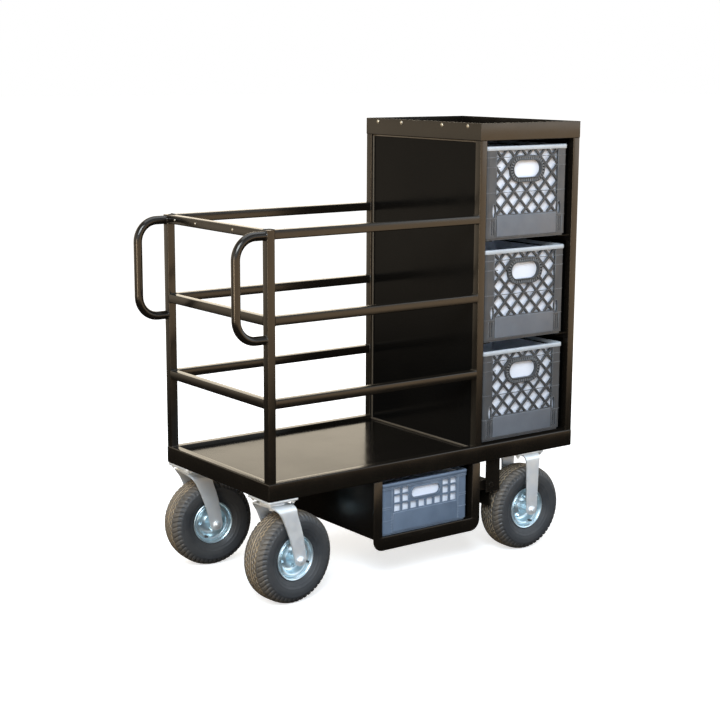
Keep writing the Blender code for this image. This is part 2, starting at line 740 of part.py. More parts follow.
def make_brake(looks, parts, cutters):
    """A shaft across the cart with a shoe at each right tyre and a foot pedal at its near end,
    hung from a bent hanger with two ears."""
    x = X_LEFT + BRAKE_X
    ends = ((x, Y_NEAR + BRAKE_SHAFT_INSET, BRAKE_Z), (x, Y_FAR - BRAKE_SHAFT_INSET, BRAKE_Z))
    bar = cylinder("brake_bar", BRAKE_SHAFT_RADIUS, *ends, PIN_SIDES, looks["frame"], parts)
    boolean(bar, shoe("brake_shoe_near", x, Y_NEAR + PLATE_INSET, cutters), "UNION")
    boolean(bar, shoe("brake_shoe_far", x, Y_FAR - PLATE_INSET, cutters), "UNION")
    boolean(bar, pedal(x, cutters), "UNION")

    low = (x - HANGER_LEFT, Y_NEAR + HANGER_INSET, HANGER_BOTTOM)
    high = (x + HANGER_RIGHT, Y_FAR - HANGER_INSET, BASE_Z - GAP)
    bm = box_bmesh(low, high)
    bm.normal_update()
    bmesh.ops.delete(bm, geom=faces_facing(bm, (1, 0, 0), (-1, 0, 0), (0, 0, -1)), context="FACES")
    bracket = add_object("brake_bracket", mesh_from(bm, "brake_bracket"), looks["frame"], parts)
    thicken(bracket, BRAKE_PLATE)
    hole_ends = ((x, Y_NEAR, BRAKE_Z), (x, Y_FAR, BRAKE_Z))
    hole = cylinder("brake_bar_holes", BRAKE_SHAFT_RADIUS + RUNNING_FIT, *hole_ends, PIN_SIDES, None, cutters)
    boolean(bracket, hole, "DIFFERENCE")


def main():
    for obj in list(bpy.data.objects):
        bpy.data.objects.remove(obj)
    parts = bpy.data.collections.new("equipment_cart")
    cutters = bpy.data.collections.new("cutters")
    for collection in (parts, cutters):
        bpy.context.scene.collection.children.link(collection)
    looks = make_materials()
    make_base(looks, parts)
    make_rails(looks, parts)
    make_handles(looks, parts)
    make_cabinet_frame(looks, parts)
    make_top_band(looks, parts)
    make_cabinet_panels(looks, parts)
    make_cabinet_crates(looks, parts, cutters)
    make_bay(looks, parts, cutters)
    make_casters(looks, parts, cutters)
    make_brake(looks, parts, cutters)


main()
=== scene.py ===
"""Looks of the black steel equipment cart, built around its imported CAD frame.

Places are read from the frame's node boxes and joints. Metres; +X runs from the handles to the
cabinet, +Y from the crate side to the back, and the floor is Z = 0.
"""

import json
import math

import bmesh
import bpy
import numpy as np
from mathutils import Matrix, Vector


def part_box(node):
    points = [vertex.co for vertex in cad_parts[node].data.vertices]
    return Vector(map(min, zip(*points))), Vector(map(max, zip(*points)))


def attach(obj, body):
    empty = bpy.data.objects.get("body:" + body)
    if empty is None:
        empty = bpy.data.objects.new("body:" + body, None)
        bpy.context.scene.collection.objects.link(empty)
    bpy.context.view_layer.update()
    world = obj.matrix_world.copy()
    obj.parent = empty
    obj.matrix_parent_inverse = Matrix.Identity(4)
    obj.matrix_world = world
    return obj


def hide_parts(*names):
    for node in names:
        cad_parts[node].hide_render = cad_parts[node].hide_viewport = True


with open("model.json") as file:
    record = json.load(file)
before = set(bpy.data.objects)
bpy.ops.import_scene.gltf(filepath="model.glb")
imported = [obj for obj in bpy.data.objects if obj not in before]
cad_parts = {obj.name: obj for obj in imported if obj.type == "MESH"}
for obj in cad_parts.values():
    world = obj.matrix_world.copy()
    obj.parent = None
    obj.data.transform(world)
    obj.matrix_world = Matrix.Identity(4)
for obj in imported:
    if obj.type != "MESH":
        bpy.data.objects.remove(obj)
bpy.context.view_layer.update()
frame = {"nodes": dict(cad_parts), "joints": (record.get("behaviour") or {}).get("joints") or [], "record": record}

TUBE = 0.0254
TUBE_CORNER = 0.0030
TUBE_WALL = 0.0016
WELD = 0.0022  # a bead's radius
WELD_STEP = 0.0016
HANDLE_BEND = 0.062
OVERLAP = 0.0003  # how far a piece runs into the one that it meets
MERGE = 1e-7


# ---- Materials ---------------------------------------------------------------------------
class Tree:
    """A node tree and short ways to add to it."""

    def __init__(self, tree):
        self.nodes, self.links = tree.nodes, tree.links

    def add(self, kind, **values):
        """A new node, with constants on its inputs."""
        node = self.nodes.new(f"ShaderNode{kind}")
        for socket, value in values.items():
            node.inputs[socket.replace("_", " ")].default_value = value
        return node

    def mix(self, factor, first, second):
        """Mixes two colours, each a tuple or a socket."""
        node = self.add("Mix")
        node.data_type = "RGBA"
        self.links.new(factor, node.inputs["Factor"])
        for socket, value in zip((node.inputs[6], node.inputs[7]), (first, second)):
            if isinstance(value, tuple):
                socket.default_value = (*value, 1)
            else:
                self.links.new(value, socket)
        return node.outputs[2]

    def seen_or_lit(self, seen, lit, output):
        """Shows the camera one shader, and every other ray the other."""
        path = self.add("LightPath")
        mix = self.add("MixShader")
        self.links.new(path.outputs["Is Camera Ray"], mix.inputs["Fac"])
        self.links.new(lit, mix.inputs[1])
        self.links.new(seen, mix.inputs[2])
        self.links.new(mix.outputs["Shader"], self.nodes[output].inputs["Surface"])


class Look(Tree):
    """A Principled material and short ways to feed its sockets."""

    def __init__(self, name, colour, roughness, metallic=0.0, **sockets):
        self.material = bpy.data.materials.new(name)
        self.material.use_nodes = True
        super().__init__(self.material.node_tree)
        self.shader = self.nodes["Principled BSDF"]
        self.shader.inputs["Base Color"].default_value = (*colour, 1)
        self.shader.inputs["Roughness"].default_value = roughness
        self.shader.inputs["Metallic"].default_value = metallic
        for socket, value in sockets.items():
            self.shader.inputs[socket.replace("_", " ")].default_value = value
        self.coords = self.nodes.new("ShaderNodeTexCoord").outputs["Object"]
        self.height = None

    def noise(self, scale, detail, stretch=(1, 1, 1)):
        mapping = self.add("Mapping", Scale=stretch)
        self.links.new(self.coords, mapping.inputs["Vector"])
        node = self.add("TexNoise", Scale=scale, Detail=detail, Roughness=0.5)
        self.links.new(mapping.outputs["Vector"], node.inputs["Vector"])
        return node.outputs["Fac"]

    def patches(self, scale, detail, low, high, start=0.0, end=1.0):
        """Noise of this scale and detail, ramped."""
        return self.ramp(self.noise(scale, detail), low, high, start, end)

    def ramp(self, source, low, high, start=0.0, end=1.0):
        """Maps source from (low, high) to (start, end), smoothly and clamped."""
        node = self.add("MapRange", From_Min=low, From_Max=high, To_Min=start, To_Max=end)
        node.interpolation_type = "SMOOTHSTEP"
        self.links.new(source, node.inputs["Value"])
        return node.outputs["Result"]

    def math(self, operation, first, second):
        node = self.add("Math")
        node.operation = operation
        for socket, value in zip(node.inputs, (first, second)):
            if isinstance(value, (int, float)):
                socket.default_value = value
            else:
                self.links.new(value, socket)
        return node.outputs["Value"]

    def edges(self, radius):
        """0 on flat ground and 1 within about radius of a sharp edge."""
        rounded = self.add("Bevel", Radius=radius)
        rounded.samples = 4
        geometry = self.add("NewGeometry")
        turned = self.add("VectorMath")
        turned.operation = "DOT_PRODUCT"
        self.links.new(rounded.outputs["Normal"], turned.inputs[0])
        self.links.new(geometry.outputs["Normal"], turned.inputs[1])
        return self.ramp(turned.outputs["Value"], 0.99, 0.88)

    def colour(self, source):
        self.links.new(source, self.shader.inputs["Base Color"])

    def roughness(self, source):
        self.links.new(source, self.shader.inputs["Roughness"])

    def bump(self, source, strength, distance):
        """Adds a bump under the ones that are there."""
        node = self.add("Bump", Strength=strength, Distance=distance)
        self.links.new(source, node.inputs["Height"])
        if self.height is not None:
            self.links.new(self.height, node.inputs["Normal"])
        self.height = node.outputs["Normal"]
        self.links.new(self.height, self.shader.inputs["Normal"])


def powder_coat(name, clean, dusty, worn_through):
    """Semi-gloss powder coat with orange peel, rubbed a little paler along its edges."""
    look = Look(name, clean, 0.18, Specular_Tint=(1.0, 0.94, 0.85, 1))
    worn = look.math("MULTIPLY", look.edges(0.0022), look.patches(11, 4, 0.40, 0.70, 0.1, 0.55))
    dust = look.patches(4.0, 5, 0.40, 0.80, 0, 0.6)
    look.colour(look.mix(worn, look.mix(dust, clean, dusty), worn_through))
    look.roughness(look.patches(10, 4, 0.3, 0.7, 0.15, 0.21))
    look.bump(look.noise(520, 2), 0.07, 0.0004)
    look.bump(look.noise(34, 2), 0.05, 0.0015)
    return look.material


def black_sheet(name, clean, dusty, specular):
    """Gloss black sheet: slow waves, faint scratches and a thin film of dust."""
    look = Look(name, clean, 0.15, Specular_IOR_Level=specular)
    film = look.patches(2.6, 6, 0.40, 0.75, 0, 0.5)
    look.colour(look.mix(film, clean, dusty))
    smear = look.patches(7, 5, 0.3, 0.7, 0.11, 0.19)
    look.roughness(look.math("ADD", smear, look.ramp(look.noise(160, 3, (1, 7, 1)), 0.45, 0.85, 0, 0.05)))
    look.bump(look.noise(2.2, 1), 0.22, 0.006)
    look.bump(look.noise(380, 2), 0.02, 0.0004)
    return look.material


def zinc(name, colour, tint, roughness, grain, metallic=1.0):
    """Bright zinc plate: faintly blue and yellow clouds with fine rolling marks."""
    look = Look(name, colour, roughness, metallic)
    plated = look.mix(look.patches(26, 4, 0.35, 0.68), colour, tint)
    grime = look.patches(48, 5, 0.62, 0.84, 0, 0.16)
    look.colour(look.mix(grime, plated, (0.34, 0.31, 0.26)))
    look.roughness(look.patches(70, 4, 0.3, 0.7, roughness - 0.05, roughness + 0.07))
    look.bump(look.noise(320, 3, (1, 1, 0.2)), grain, 0.0003)
    return look.material


def rubber():
    """Black tyre rubber, tinted tan where the dust attribute says: dust, with painted highlight along the groove
    lips and painted warm light over the tread.
    """
    look = Look("tyre_rubber", (0.030, 0.030, 0.029), 0.50)
    patches = look.patches(14, 5, 0.35, 0.70)
    clean = look.mix(patches, (0.037, 0.039, 0.042), (0.053, 0.053, 0.053))
    # the dust attribute's tan is dust, and also painted highlight along the groove lips and painted warm light
    # over the crown
    dusty = look.add("Attribute")
    dusty.attribute_name = "dust"
    tan_dust_and_highlight = look.math("MULTIPLY", dusty.outputs["Fac"], look.patches(36, 4, 0.25, 0.7, 0.55, 1.0))
    look.colour(look.mix(tan_dust_and_highlight, clean, (0.46, 0.345, 0.21)))
    look.roughness(look.patches(70, 4, 0.3, 0.7, 0.42, 0.60))
    look.bump(look.noise(1000, 2), 0.08, 0.0003)
    return look.material


def moulded_plastic(name, colour, paler, scuff):
    """Grey polyethylene: faintly mottled, scuffed pale along its edges."""
    look = Look(name, colour, 0.42)
    body = look.mix(look.patches(18, 4, 0.3, 0.7), colour, paler)
    marks = look.math("MULTIPLY", look.edges(0.0016), look.patches(26, 4, 0.3, 0.6, 0.2, 0.75))
    look.colour(look.mix(marks, body, scuff))
    look.roughness(look.patches(45, 4, 0.3, 0.7, 0.34, 0.50))
    look.bump(look.noise(600, 2), 0.08, 0.0003)
    return look.material


def pale_liner():
    """Smooth white sheet inside the crates."""
    look = Look("pale_liner", (0.82, 0.86, 0.93), 0.55)
    look.colour(look.mix(look.patches(12, 3, 0.3, 0.7), (0.82, 0.86, 0.93), (0.76, 0.80, 0.88)))
    look.roughness(look.patches(30, 3, 0.3, 0.7, 0.48, 0.62))
    look.bump(look.noise(60, 3), 0.08, 0.001)
    return look.material


def bare_bolt():
    """Yellowish zinc of small screws."""
    look = Look("bolt_zinc", (0.70, 0.66, 0.56), 0.30, 1.0)
    look.colour(look.mix(look.patches(150, 3, 0.35, 0.7), (0.72, 0.68, 0.58), (0.42, 0.38, 0.30)))
    look.roughness(look.patches(200, 3, 0.3, 0.7, 0.24, 0.40))
    look.bump(look.noise(800, 2), 0.06, 0.0002)
    return look.material


# each plastic's body, its paler mottling and its scuffed edges
PLASTICS = {
    "crate": ((0.044, 0.047, 0.051), (0.058, 0.062, 0.067), (0.20, 0.215, 0.23)),
    # the rim's pale tone is a painted highlight on the rolled rim, much paler than the crate's own plastic
    "crate_rim": ((0.40, 0.43, 0.46), (0.46, 0.50, 0.53), (0.60, 0.63, 0.65)),
    "crate_panel": ((0.102, 0.116, 0.137), (0.118, 0.134, 0.156), (0.26, 0.29, 0.32)),
    # the ribs' tone is darker than the walls': painted shade in the lattice
    "crate_rib": ((0.024, 0.027, 0.030), (0.033, 0.037, 0.041), (0.10, 0.11, 0.12)),
    # the fins' tone is paler than the ribs': a painted highlight on the comb round the slot
    "crate_fin": ((0.105, 0.112, 0.120), (0.135, 0.142, 0.150), (0.28, 0.30, 0.31)),
    # the shallow crate's tones are raised above its plastic's own colour: painted light standing in for the light
    # from the ground under the deck
    "bay_crate": ((0.105, 0.142, 0.198), (0.125, 0.168, 0.230), (0.30, 0.35, 0.42)),
}
# each black coat when clean, when dusty and when rubbed through; the trim's tones are painted pale, a painted
# highlight line along its edge
COATS = {
    "frame": ("powder_coat", (0.0052, 0.0041, 0.0030), (0.0095, 0.0074, 0.0052), (0.070, 0.058, 0.044)),
    # the trim's coat is painted far paler than the frame's: a painted highlight along the panel's edge
    "trim": ("rubbed_trim", (0.085, 0.070, 0.052), (0.11, 0.090, 0.068), (0.26, 0.22, 0.17)),
}
MATERIALS = {
    **{key: powder_coat(*tones) for key, tones in COATS.items()},
    "sheet": black_sheet("black_sheet", (0.0042, 0.0035, 0.0028), (0.0085, 0.0070, 0.0052), 0.11),
    "panel": black_sheet("panel_sheet", (0.0028, 0.0027, 0.0025), (0.0056, 0.0050, 0.0042), 0.068),
    "zinc": zinc("bright_zinc", (0.92, 0.94, 0.94), (0.85, 0.89, 0.92), 0.48, 0.05, 0.72),
    "rim": zinc("blue_zinc", (0.68, 0.85, 0.92), (0.78, 0.89, 0.93), 0.35, 0.006, 0.88),
    "tyre": rubber(),
    **{key: moulded_plastic(f"{key}_plastic", *tones) for key, tones in PLASTICS.items()},
    "liner": pale_liner(),
    "bolt": bare_bolt(),
}


# ---- Mesh building blocks ----------------------------------------------------------------
def box_bm(low, high, bevel=0.0, segments=2):
    """A box between two corners, its edges rounded by bevel."""
    bm = bmesh.new()
    bmesh.ops.create_cube(bm, size=1)
    size = Vector(high) - Vector(low)
    place = Matrix.Translation((Vector(high) + Vector(low)) / 2) @ Matrix.Diagonal((*size, 1))
    bmesh.ops.transform(bm, matrix=place, verts=bm.verts)
    if bevel > 0:
        bevel = min(bevel, min(size) * 0.49)
        bmesh.ops.bevel(bm, geom=bm.edges, offset=bevel, segments=segments, profile=0.5, affect="EDGES")
    return bm


def lathe_bm(profile, steps, closed=False):
    """Spins (radius, height) points about Z. A point on the axis closes the end."""
    bm = bmesh.new()
    rings = []
    for radius, height in profile:
        if radius < 1e-6:
            rings.append([bm.verts.new((0, 0, height))] * steps)
            continue
        angles = (math.tau * i / steps for i in range(steps))
        rings.append([bm.verts.new((radius * math.cos(a), radius * math.sin(a), height)) for a in angles])
    pairs = list(zip(rings, rings[1:]))
    if closed:
        pairs.append((rings[-1], rings[0]))
    for first, second in pairs:
        for i in range(steps):
            j = (i + 1) % steps
            corners = list(dict.fromkeys((first[i], first[j], second[j], second[i])))
            if len(corners) > 2:
                bm.faces.new(corners)
    return bm


def cylinder_bm(radius, start, end, sides=24, bevel=0.0, turn=0.0):
    start, end = Vector(start), Vector(end)
    half = (end - start).length / 2
    edge = min(bevel, radius * 0.5, half * 0.9)
    profile = [(0, -half), (radius - edge, -half), (radius, -half + edge)]
    profile += [(radius, half - edge), (radius - edge, half), (0, half)]
    bm = lathe_bm(profile, sides)
    bmesh.ops.remove_doubles(bm, verts=bm.verts, dist=MERGE)
    facing = (end - start).to_track_quat("Z", "Y").to_matrix().to_4x4()
    place = Matrix.Translation((start + end) / 2) @ facing @ Matrix.Rotation(turn, 4, "Z")
    bmesh.ops.transform(bm, matrix=place, verts=bm.verts)
    return bm


def sweep_bm(rings, closed=False):
    """Joins rings of points into a tube, with end caps unless it closes on itself."""
    bm = bmesh.new()
    made = [[bm.verts.new(p) for p in ring] for ring in rings]
    count = len(made[0])
    pairs = list(zip(made, made[1:]))
    if closed:
        pairs.append((made[-1], made[0]))
    for first, second in pairs:
        for i in range(count):
            j = (i + 1) % count
            bm.faces.new((first[i], first[j], second[j], second[i]))
    if not closed:
        bm.faces.new(made[0])
        bm.faces.new(made[-1])
    return bm


def tube_along(points, radius, sides=16, closed=False, wobble=None):
    """A round tube along a polyline. wobble gives a factor on the radius at each point."""
    points = [Vector(p) for p in points]
    count = len(points)
    rings = []
    up = None
    for i, point in enumerate(points):
        before = points[i - 1] if closed or i > 0 else point
        after = points[(i + 1) % count] if closed or i < count - 1 else point
        along = (after - before).normalized()
        if up is None:
            up = along.orthogonal().normalized()
        up = (up - along * up.dot(along)).normalized()
        side = along.cross(up)
        size = radius * (wobble[i] if wobble else 1)
        turns = (math.tau * k / sides for k in range(sides))
        rings.append([point + size * (math.cos(a) * up + math.sin(a) * side) for a in turns])
    return sweep_bm(rings, closed)


def rounded_rect(low, high, corner, steps=4):
    """Points round a rectangle with round corners, counter-clockwise."""
    (x0, y0), (x1, y1) = low, high
    centres = ((x1 - corner, y0 + corner, -90), (x1 - corner, y1 - corner, 0))
    centres += ((x0 + corner, y1 - corner, 90), (x0 + corner, y0 + corner, 180))
    points = []
    for cx, cy, start in centres:
        for i in range(steps + 1):
            angle = math.radians(start + 90 * i / steps)
            points.append((cx + corner * math.cos(angle), cy + corner * math.sin(angle)))
    return points


def plate_bm(outline, holes, low, high, bevel=0.0, axes=(0, 2, 1)):
    """A plate with holes, from a filled 2D curve. Its outline and holes lie along the first two
    axes, and it runs from low to high along the third."""
    curve = bpy.data.curves.new("plate_outline", "CURVE")
    curve.dimensions = "2D"
    curve.fill_mode = "BOTH"
    curve.extrude = max((high - low) / 2 - bevel, 1e-5)
    curve.bevel_depth = bevel
    curve.bevel_resolution = 1
    curve.offset = -bevel
    for loop in [outline, *holes]:
        spline = curve.splines.new("POLY")
        spline.points.add(len(loop) - 1)
        for point, (u, v) in zip(spline.points, loop):
            point.co = (u, v, 0, 1)
        spline.use_cyclic_u = True
    holder = bpy.data.objects.new("plate_outline", curve)
    mesh = bpy.data.meshes.new_from_object(holder)
    bpy.data.objects.remove(holder)
    bpy.data.curves.remove(curve)
    bm = bmesh.new()
    bm.from_mesh(mesh)
    bpy.data.meshes.remove(mesh)
    bmesh.ops.remove_doubles(bm, verts=bm.verts, dist=MERGE)
    middle = (low + high) / 2
    for vert in bm.verts:
        u, v, w = vert.co
        placed = [0.0, 0.0, 0.0]
        for axis, value in zip(axes, (u, v, w + middle)):
            placed[axis] = value
        vert.co = placed
    return bm


def arc(centre, radius, start, end, steps):
    """Points along an arc, its angles in degrees."""
    angles = (math.radians(start + (end - start) * i / steps) for i in range(steps + 1))
    return [(centre[0] + radius * math.cos(a), centre[1] + radius * math.sin(a)) for a in angles]


def stadium(centre, width, height, steps=8):
    """A rectangle with half-round ends, about its centre."""
    return rounded_rect(
        (centre[0] - width / 2, centre[1] - height / 2),
        (centre[0] + width / 2, centre[1] + height / 2),
        min(width, height) / 2 * 0.999,
        steps,
    )


def ellipse(centre, width, height, steps=20):
    """An ellipse about its centre."""
    turns = (math.tau * i / steps for i in range(steps))
    return [(centre[0] + width / 2 * math.cos(a), centre[1] + height / 2 * math.sin(a)) for a in turns]


def joined(*parts):
    """One bmesh from several, each a bmesh or a (bmesh, matrix) pair."""
    whole = bmesh.new()
    for part in parts:
        bm, place = part if isinstance(part, tuple) else (part, None)
        if place is not None:
            bmesh.ops.transform(bm, matrix=place, verts=bm.verts)
        mesh = bpy.data.meshes.new("joined")
        bm.to_mesh(mesh)
        bm.free()
        whole.from_mesh(mesh)
        bpy.data.meshes.remove(mesh)
    return whole


def copies(bm, places):
    """One bmesh holding bm at each of the matrices."""
    made = joined(*[(bm.copy(), place) for place in places])
    bm.free()
    return made


def bare_mesh(bm, name):
    """A mesh from a bmesh, which is used up."""
    mesh = bpy.data.meshes.new(name)
    bm.to_mesh(mesh)
    bm.free()
    return mesh


def finished(mesh, look, smooth):
    """Gives a mesh its material, smooth but for edges sharper than smooth degrees."""
    mesh.materials.append(MATERIALS[look])
    mesh.shade_smooth()
    mesh.set_sharp_from_angle(angle=math.radians(smooth))
    return mesh


def mesh_of(bm, name, look, smooth=35):
    """A finished mesh from a bmesh, its faces turned outwards."""
    bmesh.ops.recalc_face_normals(bm, faces=bm.faces)
    return finished(bare_mesh(bm, name), look, smooth)


def put(name, data):
    """An object in the scene that holds data."""
    made = bpy.data.objects.new(name, data)
    bpy.context.scene.collection.objects.link(made)
    return made


def piece(name, shape, look, body, replaces=(), slot=None, place=None):
    """Adds a piece from a bmesh or a mesh, put in its place, riding on a body."""
    mesh = shape if isinstance(shape, bpy.types.Mesh) else mesh_of(shape, name, look)
    if place is not None:
        mesh = mesh.copy()
        mesh.transform(place)
    made = put(name, mesh)
    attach(made, body)
    if replaces:
        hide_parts(*replaces)
    return made


def corners_of(node):
    """A node's lowest and highest corners at rest."""
    low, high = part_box(node)
    return Vector(low), Vector(high)


def to_3d(axis, along, first, second):
    """The point whose coordinate on axis is along, and on the other two, in order, first and second."""
    point = [first, second]
    point.insert(axis, along)
    return Vector(point)


# ---- Square tube, welds ------------------------------------------------------------------
def tube_bm(low, high, axis, stretch=(OVERLAP, OVERLAP), capped=False):
    """A square tube with round corners, lengthened by stretch at its two ends."""
    first, second = [k for k in range(3) if k != axis]
    start, end = low[axis] - stretch[0], high[axis] + stretch[1]
    outer = rounded_rect((low[first], low[second]), (high[first], high[second]), TUBE_CORNER)
    rings = [[to_3d(axis, along, *p) for p in outer] for along in (start, end)]
    if capped:
        return sweep_bm(rings)
    inner = rounded_rect(
        (low[first] + TUBE_WALL, low[second] + TUBE_WALL),
        (high[first] - TUBE_WALL, high[second] - TUBE_WALL),
        TUBE_CORNER - TUBE_WALL,
    )
    rings += [[to_3d(axis, along, *p) for p in inner] for along in (end, start)]
    return sweep_bm(rings, closed=True)


def weld_bm(path, seed, radius=WELD):
    """A rippled weld bead along a polyline that lies in a corner."""
    spaced = resample(path, WELD_STEP)
    rng = np.random.default_rng(seed)
    phase = rng.uniform(0, 6)
    wobble = [1 + 0.16 * math.sin(i * 1.9 + phase) + rng.uniform(-0.06, 0.06) for i in range(len(spaced))]
    wobble[0] = wobble[-1] = 0.45
    return tube_along(spaced, radius, 7, wobble=wobble)


def resample(path, step):
    """Points about step apart along a polyline."""
    path = [Vector(p) for p in path]
    points = []
    for start, end in zip(path, path[1:]):
        count = max(1, round((end - start).length / step))
        points += [start.lerp(end, i / count) for i in range(count)]
    return points + [path[-1]]


def end_weld(low, high, axis, at_high, open_side, seed):
    """The bead round a tube's end, on the three sides that aren't flush. open_side is the
    (axis, sign) of the flush side, or None for all four."""
    first, second = [k for k in range(3) if k != axis]
    along = high[axis] if at_high else low[axis]
    corners = [(low[first], low[second]), (high[first], low[second])]
    corners += [(high[first], high[second]), (low[first], high[second])]
    if open_side is None:
        loop = corners + corners[:1]
    else:
        flush_axis, sign = open_side
        k = (first, second).index(flush_axis)
        flush = (high if sign > 0 else low)[flush_axis]
        order = list(range(4))
        while not (abs(corners[order[0]][k] - flush) < 1e-6 and abs(corners[order[-1]][k] - flush) < 1e-6):
            order = order[1:] + order[:1]
        loop = [corners[i] for i in order]
        centre = ((low[first] + high[first]) / 2, (low[second] + high[second]) / 2)
        for i in (0, 3):
            shifted = list(loop[i])
            shifted[k] += math.copysign(WELD, centre[k] - flush)
            loop[i] = tuple(shifted)
    return weld_bm([to_3d(axis, along, *p) for p in loop], seed)


def make_rails():
    """The rails and posts as rounded tubes, and the beads that join them."""
    beads = []
    for level in ("low", "mid", "top"):
        for side, sign in (("near", -1), ("far", 1)):
            node = f"{level}_rail_{side}"
            low, high = corners_of(node)
            piece(f"{node}_tube", tube_bm(low, high, 0), "frame", "cart", [node])
            for at_high in (False, True):
                beads.append(end_weld(low, high, 0, at_high, (1, sign), len(beads)))
        node = f"{level}_rail_end"
        low, high = corners_of(node)
        piece(f"{node}_tube", tube_bm(low, high, 1), "frame", "cart", [node])
        for at_high in (False, True):
            beads.append(end_weld(low, high, 1, at_high, (0, -1), len(beads)))
    posts = {"corner_post_near": True, "corner_post_far": True}
    posts.update({f"cabinet_post_{y}_{x}": False for y in ("near", "far") for x in ("left", "right")})
    for node, capped in posts.items():
        low, high = corners_of(node)
        stretch = (OVERLAP, 0.0 if capped else OVERLAP)
        piece(f"{node}_tube", tube_bm(low, high, 2, stretch, capped), "frame", "cart", [node])
        inner_y = high.y if low.y < 0 else low.y
        beads.append(weld_bm([(x, inner_y, low.z) for x in (low.x, high.x)], len(beads)))
    piece("frame_weld_beads", joined(*beads), "frame", "cart")


def rect_sweep(profile, low, high):
    """Sweeps a closed profile of (inwards, height) points round a rectangle with mitred corners."""
    rings = []
    for x_side, y_side in ((0, 0), (1, 0), (1, 1), (0, 1)):
        ring = []
        for inwards, height in profile:
            x = high[0] - inwards if x_side else low[0] + inwards
            y = high[1] - inwards if y_side else low[1] + inwards
            ring.append((x, y, height))
        rings.append(ring)
    return sweep_bm(rings, closed=True)


def make_base():
    """The base frame as one mitred ring, and the cross members under the deck."""
    near_low, near_high = corners_of("base_tube_near")
    far_high = corners_of("base_tube_far")[1]
    profile = rounded_rect((0, near_low.z), (TUBE, near_high.z), 0.0035, 5)
    shape = rect_sweep(profile, (near_low.x, near_low.y), (near_high.x, far_high.y))
    nodes = [f"base_tube_{side}" for side in ("near", "far", "left", "right")]
    piece("base_frame_tube", shape, "frame", "cart", nodes)
    for place in ("left", "middle", "cabinet", "right"):
        node = f"cross_member_{place}"
        low, high = corners_of(node)
        piece(f"{node}_tube", tube_bm(low, high, 1), "frame", "cart", [node])


def make_top_band():
    """A folded angle ring: upright leg, and a flange under the tray, with round bends."""
    low, high = corners_of("cabinet_top_band")
    leg, bend = 0.003, 0.0026
    top, foot = high.z, low.z
    edge, lip = 0.0007, 0.0006
    profile = [(edge, top), (leg - edge, top), (leg, top - edge), (leg, foot + leg)]
    profile += [(TUBE - 0.0004, foot + leg), (TUBE, foot + leg - lip), (TUBE, foot + lip), (TUBE - lip, foot)]
    for i in range(5):
        angle = math.radians(90 * i / 4)
        profile.append((bend - bend * math.sin(angle), foot + bend - bend * math.cos(angle)))
    profile.append((0, top - edge))
    shape = rect_sweep(profile, (low.x, low.y), (high.x, high.y))
    piece("cabinet_top_band_angle", shape, "frame", "cart", ["cabinet_top_band"])


def pan_screw_bm(radius=0.0045, height=0.0026):
    """A pan head on a thin washer, pointing along +Z."""
    washer = lathe_bm([(0, 0), (radius * 1.25, 0), (radius * 1.25, 0.0006), (0, 0.0006)], 20)
    steps = 5
    dome = [(radius, 0.0006)]
    for i in range(1, steps + 1):
        angle = math.pi / 2 * i / steps
        dome.append((radius * math.cos(angle) ** 0.55, 0.0006 + (height - 0.0006) * math.sin(angle)))
    dome[-1] = (0, height)
    return joined(washer, lathe_bm([(0, 0.0005), (radius, 0.0005), *dome], 20))


def make_screws():
    """Bright screws along the cabinet's left band and on the end top rail."""
    band_low, band_high = corners_of("cabinet_top_band")
    facing_left = Matrix.Rotation(-math.pi / 2, 4, "Y")
    places = [(band_low.x, y, band_high.z - 0.010) for y in (0.219, 0.099, -0.099, -0.219)]
    rail_low, rail_high = corners_of("top_rail_end")
    middle = (rail_low.z + rail_high.z) / 2
    small = [(rail_low.x, y, middle) for y in (0.213, 0.096, -0.105)]
    shape = joined(
        copies(pan_screw_bm(), [Matrix.Translation(p) @ facing_left for p in places]),
        copies(pan_screw_bm(0.0032, 0.0018), [Matrix.Translation(p) @ facing_left for p in small]),
    )
    piece("frame_screws", shape, "bolt", "cart", slot="zinc")


def handle_path(out_reach, top, bottom, bend, start_x, y):
    """A D from the top tube's end out to -X and back to the bottom one's."""
    steps = 14
    points = [(start_x, top)]
    for centre_z, first in ((top - bend, 0), (bottom + bend, 1)):
        for i in range(steps + 1):
            angle = math.pi / 2 * (i / steps + first)
            out = out_reach - bend + bend * math.sin(angle)
            points.append((start_x - out, centre_z + bend * math.cos(angle)))
    points.append((start_x, bottom))
    return [(x, y, z) for x, z in points]


def make_handles():
    """Two bent tubes, each with a bead round both of its ends."""
    for side in ("near", "far"):
        node = f"push_handle_{side}"
        low, high = corners_of(node)
        radius = (high.y - low.y) / 2
        y = (low.y + high.y) / 2
        end_x = high.x + OVERLAP
        reach = end_x - low.x - radius
        path = handle_path(reach, high.z - radius, low.z + radius, HANDLE_BEND, end_x, y)
        parts = [tube_along(path, radius, 28)]
        for k, z in enumerate((high.z - radius, low.z + radius)):
            turns = (math.tau * i / 40 for i in range(41))
            ring = [(end_x - 0.0008, y + radius * math.cos(a), z + radius * math.sin(a)) for a in turns]
            parts.append(weld_bm(ring, 50 + k, 0.0018))
        piece(f"{node}_tube", joined(*parts), "frame", "cart", [node])


